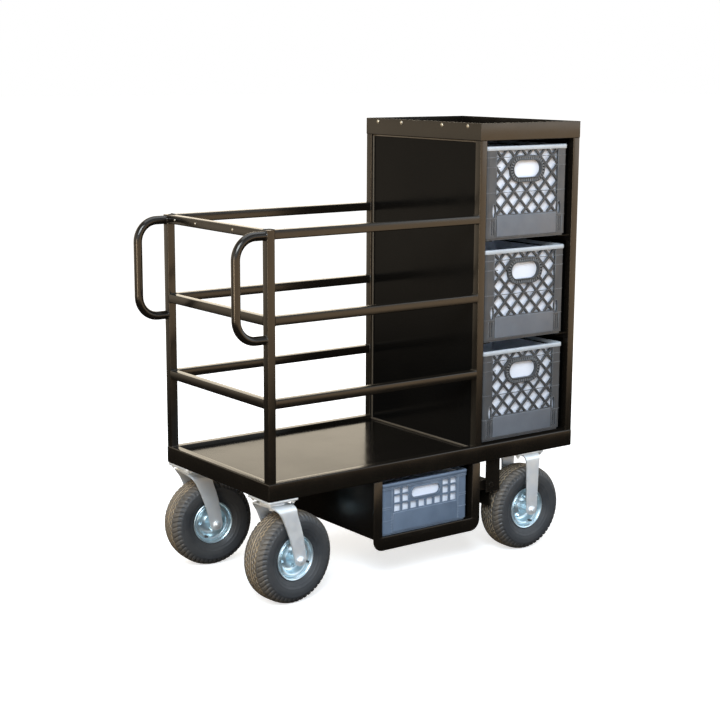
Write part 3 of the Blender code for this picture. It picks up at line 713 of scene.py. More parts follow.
# ---- Milk crates -------------------------------------------------------------------------
CRATE_CORNER = 0.014
WALL_INSET = 0.0030  # from the rim's outer face to the walls
WALL = 0.0030
RIB_DEPTH = 0.0075
RIB_WIDTH = 0.0068
LATTICE = 0.0515
LATTICE_LEFT = 0.0400
LATTICE_FOOT = 0.0760
HAND_SLOT = (0.112, 0.051)
SLOT_DROP = 0.070  # from the rim to the slot's middle
COLLAR = 0.0150  # from a hand slot to its outer band
FINS = 38
LATTICE_MIDDLE = 0.1185  # height of a crossing in the lattice's middle
LATTICE_HEAD = 0.0125  # from the rim's top to the lattice
LATTICE_FAMILY = 12  # ribs to either side of the middle one
LATTICE_STEP = 0.0008
FOOT_LINE = 0.0665
OVAL = (0.0325, 0.0865)  # a foot oval's place, from the side and from the base
BAY_SLOT = (0.108, 0.031)
BAY_SLOT_DROP = 0.0405
BAY_HOLE_PITCH = (0.0307, 0.0262)
BAY_COLUMN_LINES = (0.0440, 0.0790, 0.0850)


def round_loop(half, inset, corner, steps=6):
    """A crate's outline, inset from a square of the given half size."""
    reach = half - inset
    return rounded_rect((-reach, -reach), (reach, reach), max(corner - inset, 0.002), steps)


def ring_bm(half, profile, corner=CRATE_CORNER):
    """Sweeps a closed profile of (inset, height) points round a crate with round corners."""
    loops = [[(x, y, height) for x, y in round_loop(half, inset, corner)] for inset, height in profile]
    rings = [[loop[i] for loop in loops] for i in range(len(loops[0]))]
    return sweep_bm(rings, closed=True)


def bar_bm(start, end, width, near, far, bevel=0.0008):
    """A rib between two (u, v) points, from depth near to depth far."""
    start, end = Vector(start), Vector(end)
    length = (end - start).length
    bm = box_bm((-length / 2, near, -width / 2), (length / 2, far, width / 2), bevel, 1)
    angle = math.atan2(end.y - start.y, end.x - start.x)
    middle = (start + end) / 2
    place = Matrix.Translation((middle.x, 0, middle.y)) @ Matrix.Rotation(-angle, 4, "Y")
    bmesh.ops.transform(bm, matrix=place, verts=bm.verts)
    return bm


def in_stadium(u, v, centre, width, height):
    """True inside a rectangle with half-round ends."""
    straight = max(width / 2 - height / 2, 0)
    du = max(abs(u - centre[0]) - straight, 0)
    return math.hypot(du, v - centre[1]) < height / 2


def lattice_bars(region, origin, pitch, keep_out):
    """Both families of diagonal ribs, cut to the region and round the keep-out test."""
    (u0, v0), (u1, v1) = region
    bars = []
    for slope in (1, -1):
        for m in range(-LATTICE_FAMILY, LATTICE_FAMILY + 1):
            offset = pitch / 2 + pitch * m
            run = []
            u = u0
            while u <= u1 + 1e-9:
                v = origin[1] + slope * (offset - (u - origin[0]))
                inside = v0 <= v <= v1 and not keep_out(u, v)
                if inside:
                    run.append((u, v))
                if run and (not inside or u + LATTICE_STEP > u1):
                    if len(run) > 4:
                        bars.append((run[0], run[-1], slope))
                    run = []
                u += LATTICE_STEP
    return bars


def collar_bm(centre, slot, width, near, far):
    """The outer and inner bands round a hand slot."""
    outer = stadium(centre, slot[0] + 2 * width, slot[1] + 2 * width)
    outer_inside = stadium(centre, slot[0] + 2 * width - 0.006, slot[1] + 2 * width - 0.006)
    inner = stadium(centre, slot[0] + 0.0065, slot[1] + 0.0065)
    return joined(
        plate_bm(outer, [outer_inside], near, far, 0.0005),
        plate_bm(inner, [stadium(centre, *slot)], near - 0.0012, far + 0.004, 0.0005),
    )


def collar_fins(centre, slot, width, near, far, teeth):
    """The comb of fins between a hand slot's two bands."""
    parts = []
    loop = stadium(centre, slot[0] + width, slot[1] + width, 12)
    path = resample([(*p, 0) for p in loop + loop[:1]], 0.0005)[:-1]
    total = len(path)
    for k in range(teeth):
        i = round(k * total / teeth) % total
        along = (path[(i + 2) % total] - path[i - 2]).normalized()
        out = Vector((along.y, -along.x, 0))
        start, end = path[i] - out * width * 0.46, path[i] + out * width * 0.46
        parts.append(bar_bm(start.xy, end.xy, 0.0036, near + 0.0002, far - 0.001, 0.0))
    return joined(*parts)


def side_line(size, v, near, stop=None, width=0.0019):
    """A thin raised line across a side between its rounded corners, or stop in from each side."""
    first, last = CRATE_CORNER, size - CRATE_CORNER
    runs = [(first, last)] if stop is None else [(first, stop), (size - stop, last)]
    return [bar_bm((a, v), (b, v), width, near - 0.0012, near + 0.002, 0.0003) for a, b in runs]


def milk_lines(height):
    """Heights of the thin raised lines round a milk crate."""
    return (height - 0.0330, height - 0.0620, height - 0.1380)


def milk_ribs(size, height):
    """The diagonal lattice and the comb collar of one side. u runs across, v is up, and depth
    runs inwards along +Y from the rim's outer face."""
    wall = WALL_INSET
    slot_centre = (size / 2, height - SLOT_DROP)
    head = height - LATTICE_HEAD
    region = ((LATTICE_LEFT - 0.001, LATTICE_FOOT - 0.001), (size - LATTICE_LEFT + 0.001, head))
    clear = [side + 2 * COLLAR - 0.004 for side in HAND_SLOT]

    def keep_out(u, v):
        return in_stadium(u, v, slot_centre, *clear)

    parts = []
    for start, end, slope in lattice_bars(region, (size / 2, LATTICE_MIDDLE), LATTICE, keep_out):
        near = wall + (0.0012 if slope > 0 else 0.0010)
        parts.append(bar_bm(start, end, RIB_WIDTH, near, wall + RIB_DEPTH))
    parts.append(collar_bm(slot_centre, HAND_SLOT, COLLAR, wall - 0.0005, wall + RIB_DEPTH))
    return joined(*parts)


def milk_fins(size, height):
    """The comb round the hand slot of one side."""
    near, far = WALL_INSET - 0.0005, WALL_INSET + RIB_DEPTH
    return collar_fins((size / 2, height - SLOT_DROP), HAND_SLOT, COLLAR, near, far, FINS)


def wall_outline(size, height, drop):
    """A wall between its rounded corners, drop under the rim's top."""
    low = (CRATE_CORNER - 0.0002, 0.006)
    high = (size - CRATE_CORNER + 0.0002, height - drop)
    return rounded_rect(low, high, 0.0004, 1)


def uprights(us, foot, top, width, proud, depth, bevel=0.0003):
    """Upright bars at each u, standing proud of a wall and depth deep behind its face."""
    near, far = WALL_INSET - proud, WALL_INSET + depth
    return [bar_bm((u, foot), (u, top), width, near, far, bevel) for u in us]


def milk_wall(size, height):
    """The flat wall round the lattice, with an oval and slits at each side of its foot."""
    wall = WALL_INSET
    left, head = LATTICE_LEFT, height - LATTICE_HEAD
    holes = [rounded_rect((left, LATTICE_FOOT), (size - left, head), 0.0015, 2)]
    ovals = [(u, OVAL[1]) for u in (OVAL[0], size - OVAL[0])]
    holes += [ellipse(centre, 0.0130, 0.041) for centre in ovals]
    for k in range(2):
        slit = 0.0245 + 0.0085 * k
        holes += [stadium((u, 0.0380), 0.0034, 0.046, 3) for u in (slit, size - slit)]
    parts = [plate_bm(wall_outline(size, height, 0.0105), holes, wall, wall + WALL)]
    for centre in ovals:
        hole = ellipse(centre, 0.0128, 0.0408)
        parts.append(plate_bm(ellipse(centre, 0.0165, 0.0450), [hole], wall - 0.0010, wall + 0.006, 0.0004))
    for v, stop in zip(milk_lines(height), (None, left + 0.014, None)):
        parts += side_line(size, v, wall, stop)
    for u in (left - 0.001, size - left + 0.001):
        parts += uprights([u], 0.110, head, 0.0030, 0.0010, RIB_DEPTH, 0.0004)
        parts += uprights([u], 0.010, 0.062, 0.0022, 0.0012, 0.002)
    parts += uprights((0.0185, size - 0.0185), 0.010, 0.066, 0.0016, 0.0010, 0.002)
    parts += side_line(size, FOOT_LINE, wall, width=0.0022)
    return joined(*parts)


def milk_panel(size):
    """The solid raised panel under the lattice."""
    panel = rounded_rect((0.0445, 0.0100), (size - 0.0445, LATTICE_FOOT - 0.0025), 0.003, 3)
    return plate_bm(panel, [], WALL_INSET - 0.0020, WALL_INSET + 0.001, 0.0010)


def corner_column(size, height, lines):
    """One corner from the base to the rim, with thin lines round it, for the corner at u = v = 0."""
    half = size / 2
    reach = half - WALL_INSET
    corner = CRATE_CORNER - WALL_INSET

    def loop(outset):
        middle = -reach + corner
        bend = arc((middle, middle), corner + outset, 180, 270, 8)
        return [(-reach - outset, middle), *bend, (middle, -reach - outset)]

    def shell(low, high, outer, inner):
        return sweep_bm([[(x, y, z) for x, y in outer + inner[::-1]] for z in (low, high)])

    parts = [shell(0.006, height - 0.010, loop(0), loop(-WALL))]
    parts += [shell(z - 0.0009, z + 0.0009, loop(0.0011), loop(-0.0005)) for z in lines]
    return joined(*parts)


def crate_base(size, inset, height):
    """The grid under a crate, inside a stacking foot."""
    half = size / 2
    parts = [ring_bm(half, [(inset, 0.0), (inset, height), (inset + 0.003, height), (inset + 0.003, 0.0)])]
    reach = half - inset - 0.002
    count = 9
    for k in range(count):
        at = -reach + 2 * reach * (k + 0.5) / count
        parts.append(box_bm((at - 0.0013, -reach, 0.0015), (at + 0.0013, reach, height)))
        parts.append(box_bm((-reach, at - 0.0013, 0.0018), (reach, at + 0.0013, height - 0.0003)))
    return joined(*parts)


def rim_profile(height, drop, lip):
    """A crate's rolled rim: a rounded outer band with a hollow underside."""
    return [
        (0.0008, height - drop), (0, height - drop + 0.0010), (0, height - 0.0035), (0.0008, height - 0.0012),
        (0.0026, height), (0.0080, height), (0.0098, height - 0.0008), (0.0105, height - 0.0030),
        (0.0105, height - lip), (0.0085, height - lip), (0.0080, height - 0.0045), (0.0030, height - 0.0045),
        (0.0024, height - drop),
    ]


def around(bm, size=None):
    """A crate's side or corner at its four places about the crate's middle."""
    centred = Matrix.Translation((-size / 2, -size / 2, 0)) if size else Matrix.Identity(4)
    return copies(bm, [Matrix.Rotation(math.pi / 2 * k, 4, "Z") @ centred for k in range(4)])


def milk_crate_meshes(size, height):
    """The crate's walls, ribs, panels and rim, each with its own tone of plastic: the ribs' darker tone is painted
    shade, and the fins' and rim's paler tones are painted highlights.
    """
    walls = joined(
        around(milk_wall(size, height), size),
        around(corner_column(size, height, milk_lines(height) + (FOOT_LINE,))),
        crate_base(size, 0.0075, 0.0085),
    )
    rim = ring_bm(size / 2, rim_profile(height, 0.0125, 0.0110))
    return {
        "shell": mesh_of(walls, "milk_crate_walls", "crate", 40),
        "ribs": mesh_of(around(milk_ribs(size, height), size), "milk_crate_ribs", "crate_rib", 40),
        "fins": mesh_of(around(milk_fins(size, height), size), "milk_crate_fins", "crate_fin", 40),
        "panels": mesh_of(around(milk_panel(size), size), "milk_crate_panels", "crate_panel", 40),
        "rim": mesh_of(rim, "milk_crate_rim", "crate_rim", 40),
    }


def bay_side(size, height):
    """One side of the shallow crate: square holes, a hand slot, and a solid lower panel."""
    wall = WALL_INSET
    middle = size / 2
    slot_centre = (middle, height - BAY_SLOT_DROP)
    holes = [stadium(slot_centre, *BAY_SLOT)]
    for row in range(3):
        v = height - 0.0245 - BAY_HOLE_PITCH[1] * row
        for k in range(8):
            u = middle + BAY_HOLE_PITCH[0] * (k - 3.5)
            if row == 2 or not 2 <= k <= 5:
                holes.append(rounded_rect((u - 0.0112, v - 0.0108), (u + 0.0112, v + 0.0108), 0.0015, 2))
    parts = [plate_bm(wall_outline(size, height, 0.0100), holes, wall, wall + WALL)]
    panel = rounded_rect((0.0430, 0.0090), (size - 0.0430, height - 0.0915), 0.002, 3)
    parts.append(plate_bm(panel, [], wall - 0.0018, wall + 0.001, 0.0008))
    band = stadium(slot_centre, BAY_SLOT[0] + 0.0085, BAY_SLOT[1] + 0.0085)
    parts.append(plate_bm(band, [stadium(slot_centre, *BAY_SLOT)], wall - 0.0018, wall + 0.0060, 0.0005))
    for u in (0.0385, size - 0.0385):
        parts += uprights([u], 0.007, height - 0.0110, 0.0026, 0.0016, 0.002, 0.0004)
        for k in range(6):
            v = 0.0120 + 0.0085 * k
            parts.append(bar_bm((u - 0.004, v), (u + 0.004, v), 0.0020, wall - 0.0012, wall + 0.001, 0.0003))
    for first, last in ((CRATE_CORNER, 0.0375), (size - 0.0375, size - CRATE_CORNER)):
        for v in BAY_COLUMN_LINES:
            parts.append(bar_bm((first, v), (last, v), 0.0020, wall - 0.0012, wall + 0.002, 0.0003))
    return joined(*parts)


def bay_crate_meshes(size, height):
    """The shallow crate's walls, rim and lines, all of one plastic."""
    rings = [ring_bm(size / 2, rim_profile(height, 0.0095, 0.0085))]
    for drop in (0.0135, 0.0175):
        foot, top = height - drop - 0.0009, height - drop + 0.0009
        rings.append(ring_bm(size / 2, [(0.0008, foot), (0.0008, top), (0.0034, top), (0.0034, foot)]))
    walls = joined(
        around(bay_side(size, height), size),
        around(corner_column(size, height, BAY_COLUMN_LINES)),
        crate_base(size, 0.0075, 0.0085),
        *rings,
    )
    return {"shell": mesh_of(walls, "bay_crate_walls", "bay_crate", 40)}


def liner_mesh(name, size, height, drop, gap):
    """An open-topped sheet box that stands inside a crate, gap inside the rim's outer face."""
    sheet, foot, corner = 0.0012, 0.0090, 0.022
    top = height - drop
    profile = [(gap, foot), (gap, top), (gap + sheet, top), (gap + sheet, foot + sheet)]
    walls = ring_bm(size / 2, profile, corner)
    reach = size / 2 - gap - sheet / 2
    outline = rounded_rect((-reach, -reach), (reach, reach), 0.006)
    floor = plate_bm(outline, [], foot, foot + sheet, axes=(0, 1, 2))
    return mesh_of(joined(walls, floor), name, "liner", 40)


def make_crates():
    """Three milk crates from one set of meshes, the shallow crate, and their liners."""
    low, high = corners_of("crate_upper")
    size, height = high.x - low.x, high.z - low.z
    meshes = milk_crate_meshes(size, height)
    meshes["liner"] = liner_mesh("milk_crate_liner", size, height, 0.014, 0.0152)
    for place in ("upper", "middle", "lower"):
        put_crate(f"crate_{place}", meshes, "crate")
    low, high = corners_of("bay_crate")
    size, height = high.x - low.x, high.z - low.z
    meshes = bay_crate_meshes(size, height)
    meshes["liner"] = liner_mesh("bay_crate_liner", size, height, 0.012, 0.0100)
    put_crate("bay_crate", meshes, "bay_crate")


def put_crate(node, meshes, slot):
    """Puts a crate's meshes where its node is, riding on its own body."""
    low, high = corners_of(node)
    place = Matrix.Translation(((low.x + high.x) / 2, (low.y + high.y) / 2, low.z))
    for part, mesh in meshes.items():
        replaced = [node] if part == "shell" else ()
        piece(f"{node}_{part}", mesh, slot, f"{node}_body", replaced, slot, place=place)


# ---- Sheet and plate ---------------------------------------------------------------------
def make_bay():
    """The bay's flange, with round lower corners, and the rounded lips of its shelf."""
    low, high = corners_of("bay_front_frame")
    leg, corner, inner_corner = 0.0305, 0.034, 0.004
    inside_low, inside_high = low.x + leg, high.x - leg
    shelf = corners_of("bay_crate")[0].z - 0.0005
    outline = [(low.x, high.z)]
    outline += arc((low.x + corner, low.z + corner), corner, 180, 270, 10)
    outline += arc((high.x - corner, low.z + corner), corner, 270, 360, 10)
    outline += [(high.x, high.z), (inside_high, high.z)]
    outline += arc((inside_high - inner_corner, shelf + inner_corner), inner_corner, 0, -90, 3)
    outline += arc((inside_low + inner_corner, shelf + inner_corner), inner_corner, -90, -180, 3)
    outline.append((inside_low, high.z))
    parts = [plate_bm(outline, [], low.y, high.y, 0.0012)]
    for drop, radius in ((0.0016, 0.0016), (0.0075, 0.0011), (0.0125, 0.0011)):
        ends = [(x, low.y + radius, shelf - drop) for x in (inside_low - 0.006, inside_high + 0.006)]
        parts.append(cylinder_bm(radius, *ends, 10))
    for x in (inside_low, inside_high):
        ends = ((x - 0.0012, low.y + 0.0006, shelf), (x + 0.0012, low.y + 0.022, high.z))
        parts.append(box_bm(*ends, 0.0006, 1))
    piece("bay_front_frame_plate", joined(*parts), "frame", "cart", ["bay_front_frame"])


def make_deck():
    """The deck sheet, run under the cabinet's panel and up to the tubes round it."""
    low, high = corners_of("platform_deck")
    reach = 0.0006
    foot = corners_of("cabinet_panel_left")[1].x + 0.016
    sheet = box_bm((low.x - reach, low.y - reach, low.z), (foot, high.y + reach, high.z), 0.0004, 1)
    piece("platform_deck_sheet", sheet, "sheet", "cart", ["platform_deck"])


def make_panel_trim():
    """A folded edge round the cabinet's left panel, and a stop bead along its foot, in a pale coat that paints a
    highlight line round the panel.
    """
    low, high = corners_of("cabinet_panel_left")
    width, proud = 0.0042, 0.0034
    x0, x1 = low.x - proud, low.x + 0.0006
    parts = [
        box_bm((x0, low.y - 0.0002, low.z), (x1, low.y + width, high.z), 0.0009, 2),
        box_bm((x0, high.y - width, low.z), (x1, high.y + 0.0002, high.z), 0.0009, 2),
        box_bm((x0, low.y, high.z - width), (x1, high.y, high.z + 0.0002), 0.0009, 2),
        box_bm((x0 - 0.0016, low.y, low.z - 0.0002), (x1, high.y, low.z + width + 0.0014), 0.0012, 2),
    ]
    piece("cabinet_panel_trim", joined(*parts), "trim", "cart", slot="frame")


# ---- Casters -----------------------------------------------------------------------------
AXLE_Z = 0.135
FORK_INSIDE = 0.0555
FORK_PLATE = 0.005
FOOT_DEPTH = 0.0175  # from the axle to the foot's lowest point
PLATE_THICK = 0.006
SWIVEL_CROWN = 0.300
WHEEL_TURNS = {"left_near": 0.4, "left_far": 2.1, "right_near": 1.2, "right_far": 3.0}


def fork_bm(crown_z, trail, widths):
    """A bent plate: a crown, and two legs that swoop back by trail and end in round feet. widths
    are the crown's, the shoulder's and the foot's."""
    outside = FORK_INSIDE + FORK_PLATE
    bend = 0.018
    foot = widths[2] / 2
    drop = crown_z - AXLE_Z
    shares = (0.0, 0.20, 0.30, 1.0)
    rows = [(-outside, AXLE_Z - FOOT_DEPTH * math.sin(math.radians(a))) for a in range(84, -1, -12)]
    rows += [(-outside, AXLE_Z + (drop - bend) * (i + 1) / 12) for i in range(12)]
    rows += [(-outside + bend - v, crown_z - bend + w) for v, w in arc((0, 0), bend, 0, 90, 8)[1:]]
    rows += [(-y, z) for y, z in reversed(rows)]
    bm = bmesh.new()
    rings = []
    for y, z in rows:
        fallen = min(max((crown_z - z) / drop, 0), 1)
        half = float(np.interp(fallen, shares, (widths[0], widths[1], widths[1] * 0.985, widths[2]))) / 2
        if z < AXLE_Z:
            half = foot * math.sqrt(max(1 - ((AXLE_Z - z) / FOOT_DEPTH) ** 2, 1e-6))
        centre = trail * (fallen + 0.13 * math.sin(math.pi * fallen))
        rings.append([bm.verts.new((centre + half * t, y, z)) for t in (-1, -0.82, -0.4, 0, 0.4, 0.82, 1)])
    for first, second in zip(rings, rings[1:]):
        for i in range(6):
            bm.faces.new((first[i], first[i + 1], second[i + 1], second[i]))
    bmesh.ops.recalc_face_normals(bm, faces=bm.faces)
    crown = max(bm.faces, key=lambda f: f.calc_center_median().z)
    if crown.normal.z < 0:
        bmesh.ops.reverse_faces(bm, faces=bm.faces)
    return bm


def solid_sheet(name, bm, look, thickness, bevel, body, **kwargs):
    """A piece from an open sheet, thickened inwards, its edges rounded, modifiers applied."""
    holder = put(name, bare_mesh(bm, name))
    solidify = holder.modifiers.new("thickness", "SOLIDIFY")
    solidify.thickness = thickness
    solidify.offset = -1
    solidify.use_even_offset = True
    rounding = holder.modifiers.new("edges", "BEVEL")
    rounding.width = bevel
    rounding.segments = 2
    rounding.angle_limit = math.radians(50)
    graph = bpy.context.evaluated_depsgraph_get()
    made = bpy.data.meshes.new_from_object(holder.evaluated_get(graph))
    bpy.data.objects.remove(holder)
    made.name = name
    made.materials.clear()
    return piece(name, finished(made, look, 40), look, body, **kwargs)


def hex_head(radius, height, bevel=0.0006):
    """A hexagon with a chamfered top, standing on Z = 0."""
    flat = [(0, 0), (radius, 0), (radius, height - bevel), (radius * 0.88, height), (0, height)]
    return lathe_bm(flat, 6)


def bolt_bm(radius=0.0062, height=0.0050, tip=0.004):
    """A hex nut on a washer, with the bolt's end standing out of it. Points along +Z."""
    washer = cylinder_bm(radius * 1.25, (0, 0, 0), (0, 0, 0.0014), 20, 0.0003)
    end = cylinder_bm(radius * 0.52, (0, 0, 0.001), (0, 0, 0.0014 + height + tip), 14, 0.0008)
    return joined(washer, (hex_head(radius, height), Matrix.Translation((0, 0, 0.0014))), end)


def plate_bolts(half_x, half_y, inset, z):
    """Four nuts hanging under a caster's plate."""
    down = Matrix.Rotation(math.pi, 4, "X")
    spots = [(sx * (half_x - inset), sy * (half_y - inset)) for sx in (-1, 1) for sy in (-1, 1)]
    return [(bolt_bm(), Matrix.Translation((x, y, z)) @ down) for x, y in spots]


def top_plate_bm(half_x, half_y, low, high):
    """A caster's flat mounting plate with round corners."""
    outline = rounded_rect((-half_x, -half_y), (half_x, half_y), 0.009, 5)
    return plate_bm(outline, [], low, high, 0.0007, axes=(0, 1, 2))


def axle_bm():
    """A bolt through the wheel: hex head and washer at one end, lock nut at the other."""
    outer = FORK_INSIDE + FORK_PLATE
    along = Matrix.Rotation(-math.pi / 2, 4, "X")
    back = Matrix.Rotation(math.pi / 2, 4, "X")
    shaft = cylinder_bm(0.0060, (0, -outer, 0), (0, outer, 0), 24)
    face = outer + 0.0018
    washers = [cylinder_bm(0.0115, (0, s * outer, 0), (0, s * face, 0), 28, 0.0004) for s in (-1, 1)]
    head = (hex_head(0.0098, 0.0072), Matrix.Translation((0, face, 0)) @ along)
    nut = (hex_head(0.0098, 0.0052), Matrix.Translation((0, -face, 0)) @ back)
    collar = cylinder_bm(0.0074, (0, -outer - 0.0068, 0), (0, -outer - 0.0086, 0), 24, 0.0006)
    tip = cylinder_bm(0.0052, (0, -outer - 0.008, 0), (0, -outer - 0.0098, 0), 18, 0.0008)
    return joined(shaft, *washers, head, nut, collar, tip)


def rim_bm():
    """A two-part pressed rim: a rolled flange, a second step inside it, a deep dish with a hub,
    and the bolts that hold the halves together."""
    outside = [
        (0.0062, 0.0540), (0.0142, 0.0540), (0.0152, 0.0530), (0.0152, 0.0200), (0.0176, 0.0140),
        (0.0225, 0.0105), (0.0300, 0.0092), (0.0370, 0.0098), (0.0415, 0.0128), (0.0442, 0.0185),
        (0.0456, 0.0250), (0.0470, 0.0285), (0.0496, 0.0302), (0.0530, 0.0306), (0.0548, 0.0290),
        (0.0562, 0.0272), (0.0580, 0.0300), (0.0602, 0.0345), (0.0622, 0.0366), (0.0640, 0.0372),
        (0.0652, 0.0364), (0.0655, 0.0350), (0.0646, 0.0338), (0.0628, 0.0330),
        (0.0606, 0.0306), (0.0592, 0.0270), (0.0560, 0.0230), (0.0545, 0.0100),
    ]
    profile = outside + [(r, -h) for r, h in reversed(outside)]
    parts = [lathe_bm(profile, 96, closed=True)]
    for x, y in arc((0, 0), 0.0312, 45, 315, 3):
        for sign in (1, -1):
            turn = Matrix.Identity(4) if sign > 0 else Matrix.Rotation(math.pi, 4, "X")
            parts.append((bolt_bm(0.0056, 0.0042, 0.0022), Matrix.Translation((x, y, sign * 0.0088)) @ turn))
    lay = Matrix.Rotation(math.pi / 2, 4, "X")
    return joined((joined(*parts), lay))


TYRE_RADIUS = 0.135
TYRE_HALF = 0.049
LUGS = 52
GROOVE_DEPTH = 0.0062
# tan over the whole crown: dust and painted warm light
TREAD_DUST_AND_WARM_LIGHT = 0.15
COLUMNS = 103  # points over the half section
LUG_STEPS = 9
# round the side wall: a ring's radius, its half width and how far it stands out
WALL_RINGS = ((0.1095, 0.0010, 0.0008), (0.0880, 0.0011, 0.0008), (0.0790, 0.0009, 0.0007))
# across the tread: a groove's middle, its zigzag's swing, its half width, and its place in the zigzag
TREAD_GROOVES = ((0.0, 0.0, 0.0016, 0.0), (0.0096, 0.0021, 0.0016, 0.0), (0.0192, 0.0023, 0.0017, 0.5))


def smooth_points(points, count):
    """Points spread along a Catmull-Rom curve through the given ones."""
    points = [np.array(p, float) for p in points]
    out = []
    spans = len(points) - 1
    for k in range(count):
        at = k / (count - 1) * spans
        i = min(int(at), spans - 1)
        t = at - i
        p0, p1, p2, p3 = (points[min(max(j, 0), spans)] for j in (i - 1, i, i + 1, i + 2))
        square, cube = 2 * p0 - 5 * p1 + 4 * p2 - p3, 3 * p1 - p0 - 3 * p2 + p3
        out.append(0.5 * (2 * p1 + (p2 - p0) * t + square * t**2 + cube * t**3))
    return np.array(out)


def triangle_wave(x):
    """-1 to 1, period 1."""
    return 4 * np.abs((x % 1) - 0.5) - 1


def smooth_step(x, low, high):
    """0 below low, 1 above high, and smooth between."""
    t = np.clip((x - low) / (high - low), 0, 1)
    return t * t * (3 - 2 * t)


def tyre_depth(radius, across, phase):
    """How far the tyre's surface is cut in, and how much tan tint it takes, over the half section: dust, with
    painted highlight along the groove lips and painted warm light over the crown.
    phase counts lugs round the tyre."""
    crown = smooth_step(radius, 0.1225, 0.1260)
    depth = np.zeros(np.broadcast_shapes(radius.shape, phase.shape))
    dust = depth.copy()
    for centre, swing, width, shift in TREAD_GROOVES:
        off = np.abs(across - centre - swing * triangle_wave(phase + shift))
        groove = (1 - smooth_step(off, width * 0.55, width * 1.2)) * crown
        # tan along each groove's lips: dust and a painted highlight on the groove's lit edge
        lip = smooth_step(off, width * 0.6, width * 0.9) * (1 - smooth_step(off, width * 1.1, width * 1.6))
        depth = np.maximum(depth, groove * GROOVE_DEPTH)
        dust = np.maximum(dust, lip * crown)
    dust = np.maximum(dust, TREAD_DUST_AND_WARM_LIGHT * crown)
    slanted = (phase + 0.70 * smooth_step(across, 0.024, 0.050)) % 1
    notch = 1 - smooth_step(np.abs(slanted - 0.5), 0.08, 0.19)
    shoulder = smooth_step(across, 0.0265, 0.0290) * smooth_step(radius, 0.1130, 0.1170)
    depth = np.maximum(depth, notch * shoulder * 0.0032)
    dust = np.maximum(dust, (1 - notch) * shoulder * 0.05)
    for ring_radius, width, rise in WALL_RINGS:
        ridge = 1 - smooth_step(np.abs(radius - ring_radius), width * 0.5, width * 1.4)
        depth = depth - ridge * rise * (radius < 0.120)
    block = 1 - smooth_step(np.abs(phase % 1 - 0.5), 0.30, 0.38)
    side = smooth_step(radius, 0.1105, 0.1112) * (1 - smooth_step(radius, 0.1125, 0.1150))
    depth = depth - block * side * 0.0006
    return depth, dust


def tyre_mesh():
    """A pneumatic tyre: zigzag grooves round the tread, lugs on its shoulders, ringed side walls."""
    half_section = [
        (0.1350, 0.0000), (0.1350, 0.0043), (0.1349, 0.0087), (0.1348, 0.0130), (0.1346, 0.0167),
        (0.1342, 0.0204), (0.1338, 0.0240), (0.1325, 0.0289), (0.1308, 0.0335), (0.1240, 0.0418),
        (0.1140, 0.0470), (0.1030, 0.0486), (0.0920, 0.0474), (0.0820, 0.0440), (0.0745, 0.0400),
        (0.0695, 0.0370), (0.0672, 0.0350), (0.0622, 0.0282),
    ]
    section = smooth_points(half_section, COLUMNS)
    tangent = np.gradient(section, axis=0)
    normal = np.stack([tangent[:, 1], -tangent[:, 0]], axis=1)
    normal /= np.linalg.norm(normal, axis=1)[:, None]
    steps = LUGS * LUG_STEPS
    phase = (np.arange(steps) / steps * LUGS)[:, None]
    radius, across = section[:, 0][None, :], section[:, 1][None, :]
    depth, dust = tyre_depth(radius, across, phase)
    r = np.minimum(radius - normal[:, 0][None, :] * depth, TYRE_RADIUS * 0.99995)
    h = np.minimum(across - normal[:, 1][None, :] * depth, TYRE_HALF * 0.999)
    dust = np.clip(dust, 0, 1)
    mirrored = slice(None, 0, -1)
    inner = smooth_points([(0.0606, 0.0282), (0.0600, 0.012), (0.0600, -0.012), (0.0606, -0.0282)], 6)
    r = np.concatenate([r[:, mirrored], r, np.broadcast_to(inner[:, 0], (steps, 6))], axis=1)
    h = np.concatenate([-h[:, mirrored], h, np.broadcast_to(inner[:, 1], (steps, 6))], axis=1)
    dust = np.concatenate([dust[:, mirrored], dust, np.zeros((steps, 6))], axis=1)
    columns = r.shape[1]
    angle = (np.arange(steps) / steps * math.tau)[:, None]
    points = np.stack([r * np.cos(angle), h, r * np.sin(angle)], axis=2).reshape(-1, 3)
    i, j = np.meshgrid(np.arange(steps), np.arange(columns), indexing="ij")
    i2, j2 = (i + 1) % steps, (j + 1) % columns
    corners = (i * columns + j, i * columns + j2, i2 * columns + j2, i2 * columns + j)
    mesh = bpy.data.meshes.new("tyre")
    mesh.from_pydata(points.tolist(), [], np.stack(corners, axis=2).reshape(-1, 4).tolist())
    attribute = mesh.attributes.new("dust", "FLOAT", "POINT")
    attribute.data.foreach_set("value", dust.astype(np.float32).ravel())
    bm = bmesh.new()
    bm.from_mesh(mesh)
    bmesh.ops.recalc_face_normals(bm, faces=bm.faces)
    bm.to_mesh(mesh)
    bm.free()
    mesh.materials.append(MATERIALS["tyre"])
    mesh.shade_smooth()
    return mesh


def valve_bm():
    """A rubber valve stem with its cap, leaning out of the rim."""
    stem = cylinder_bm(0.0040, (0.0500, -0.020, 0), (0.0475, -0.034, 0), 16, 0.0008)
    cap = cylinder_bm(0.0032, (0.0475, -0.0335, 0), (0.0462, -0.0415, 0), 14, 0.0008)
    return joined(stem, cap)


def wheel_frames():
    """The place of each wheel, turned so that its axle lies along local Y."""
    made = {}
    for joint in frame["joints"]:
        if joint["name"].endswith("_spin"):
            name = joint["name"].replace("wheel_", "").replace("_spin", "")
            axis = Vector(joint["axis"])
            toe = math.atan2(-axis.x, axis.y)
            made[name] = Matrix.Translation(joint["pos_m"]) @ Matrix.Rotation(toe, 4, "Z")
    return made


def swivel_centres():
    """Where each swivel caster's turning axis stands."""
    turns = [joint for joint in frame["joints"] if joint["name"].endswith("_turn")]
    return {joint["child"].replace("swivel_", ""): Vector(joint["pos_m"]) for joint in turns}


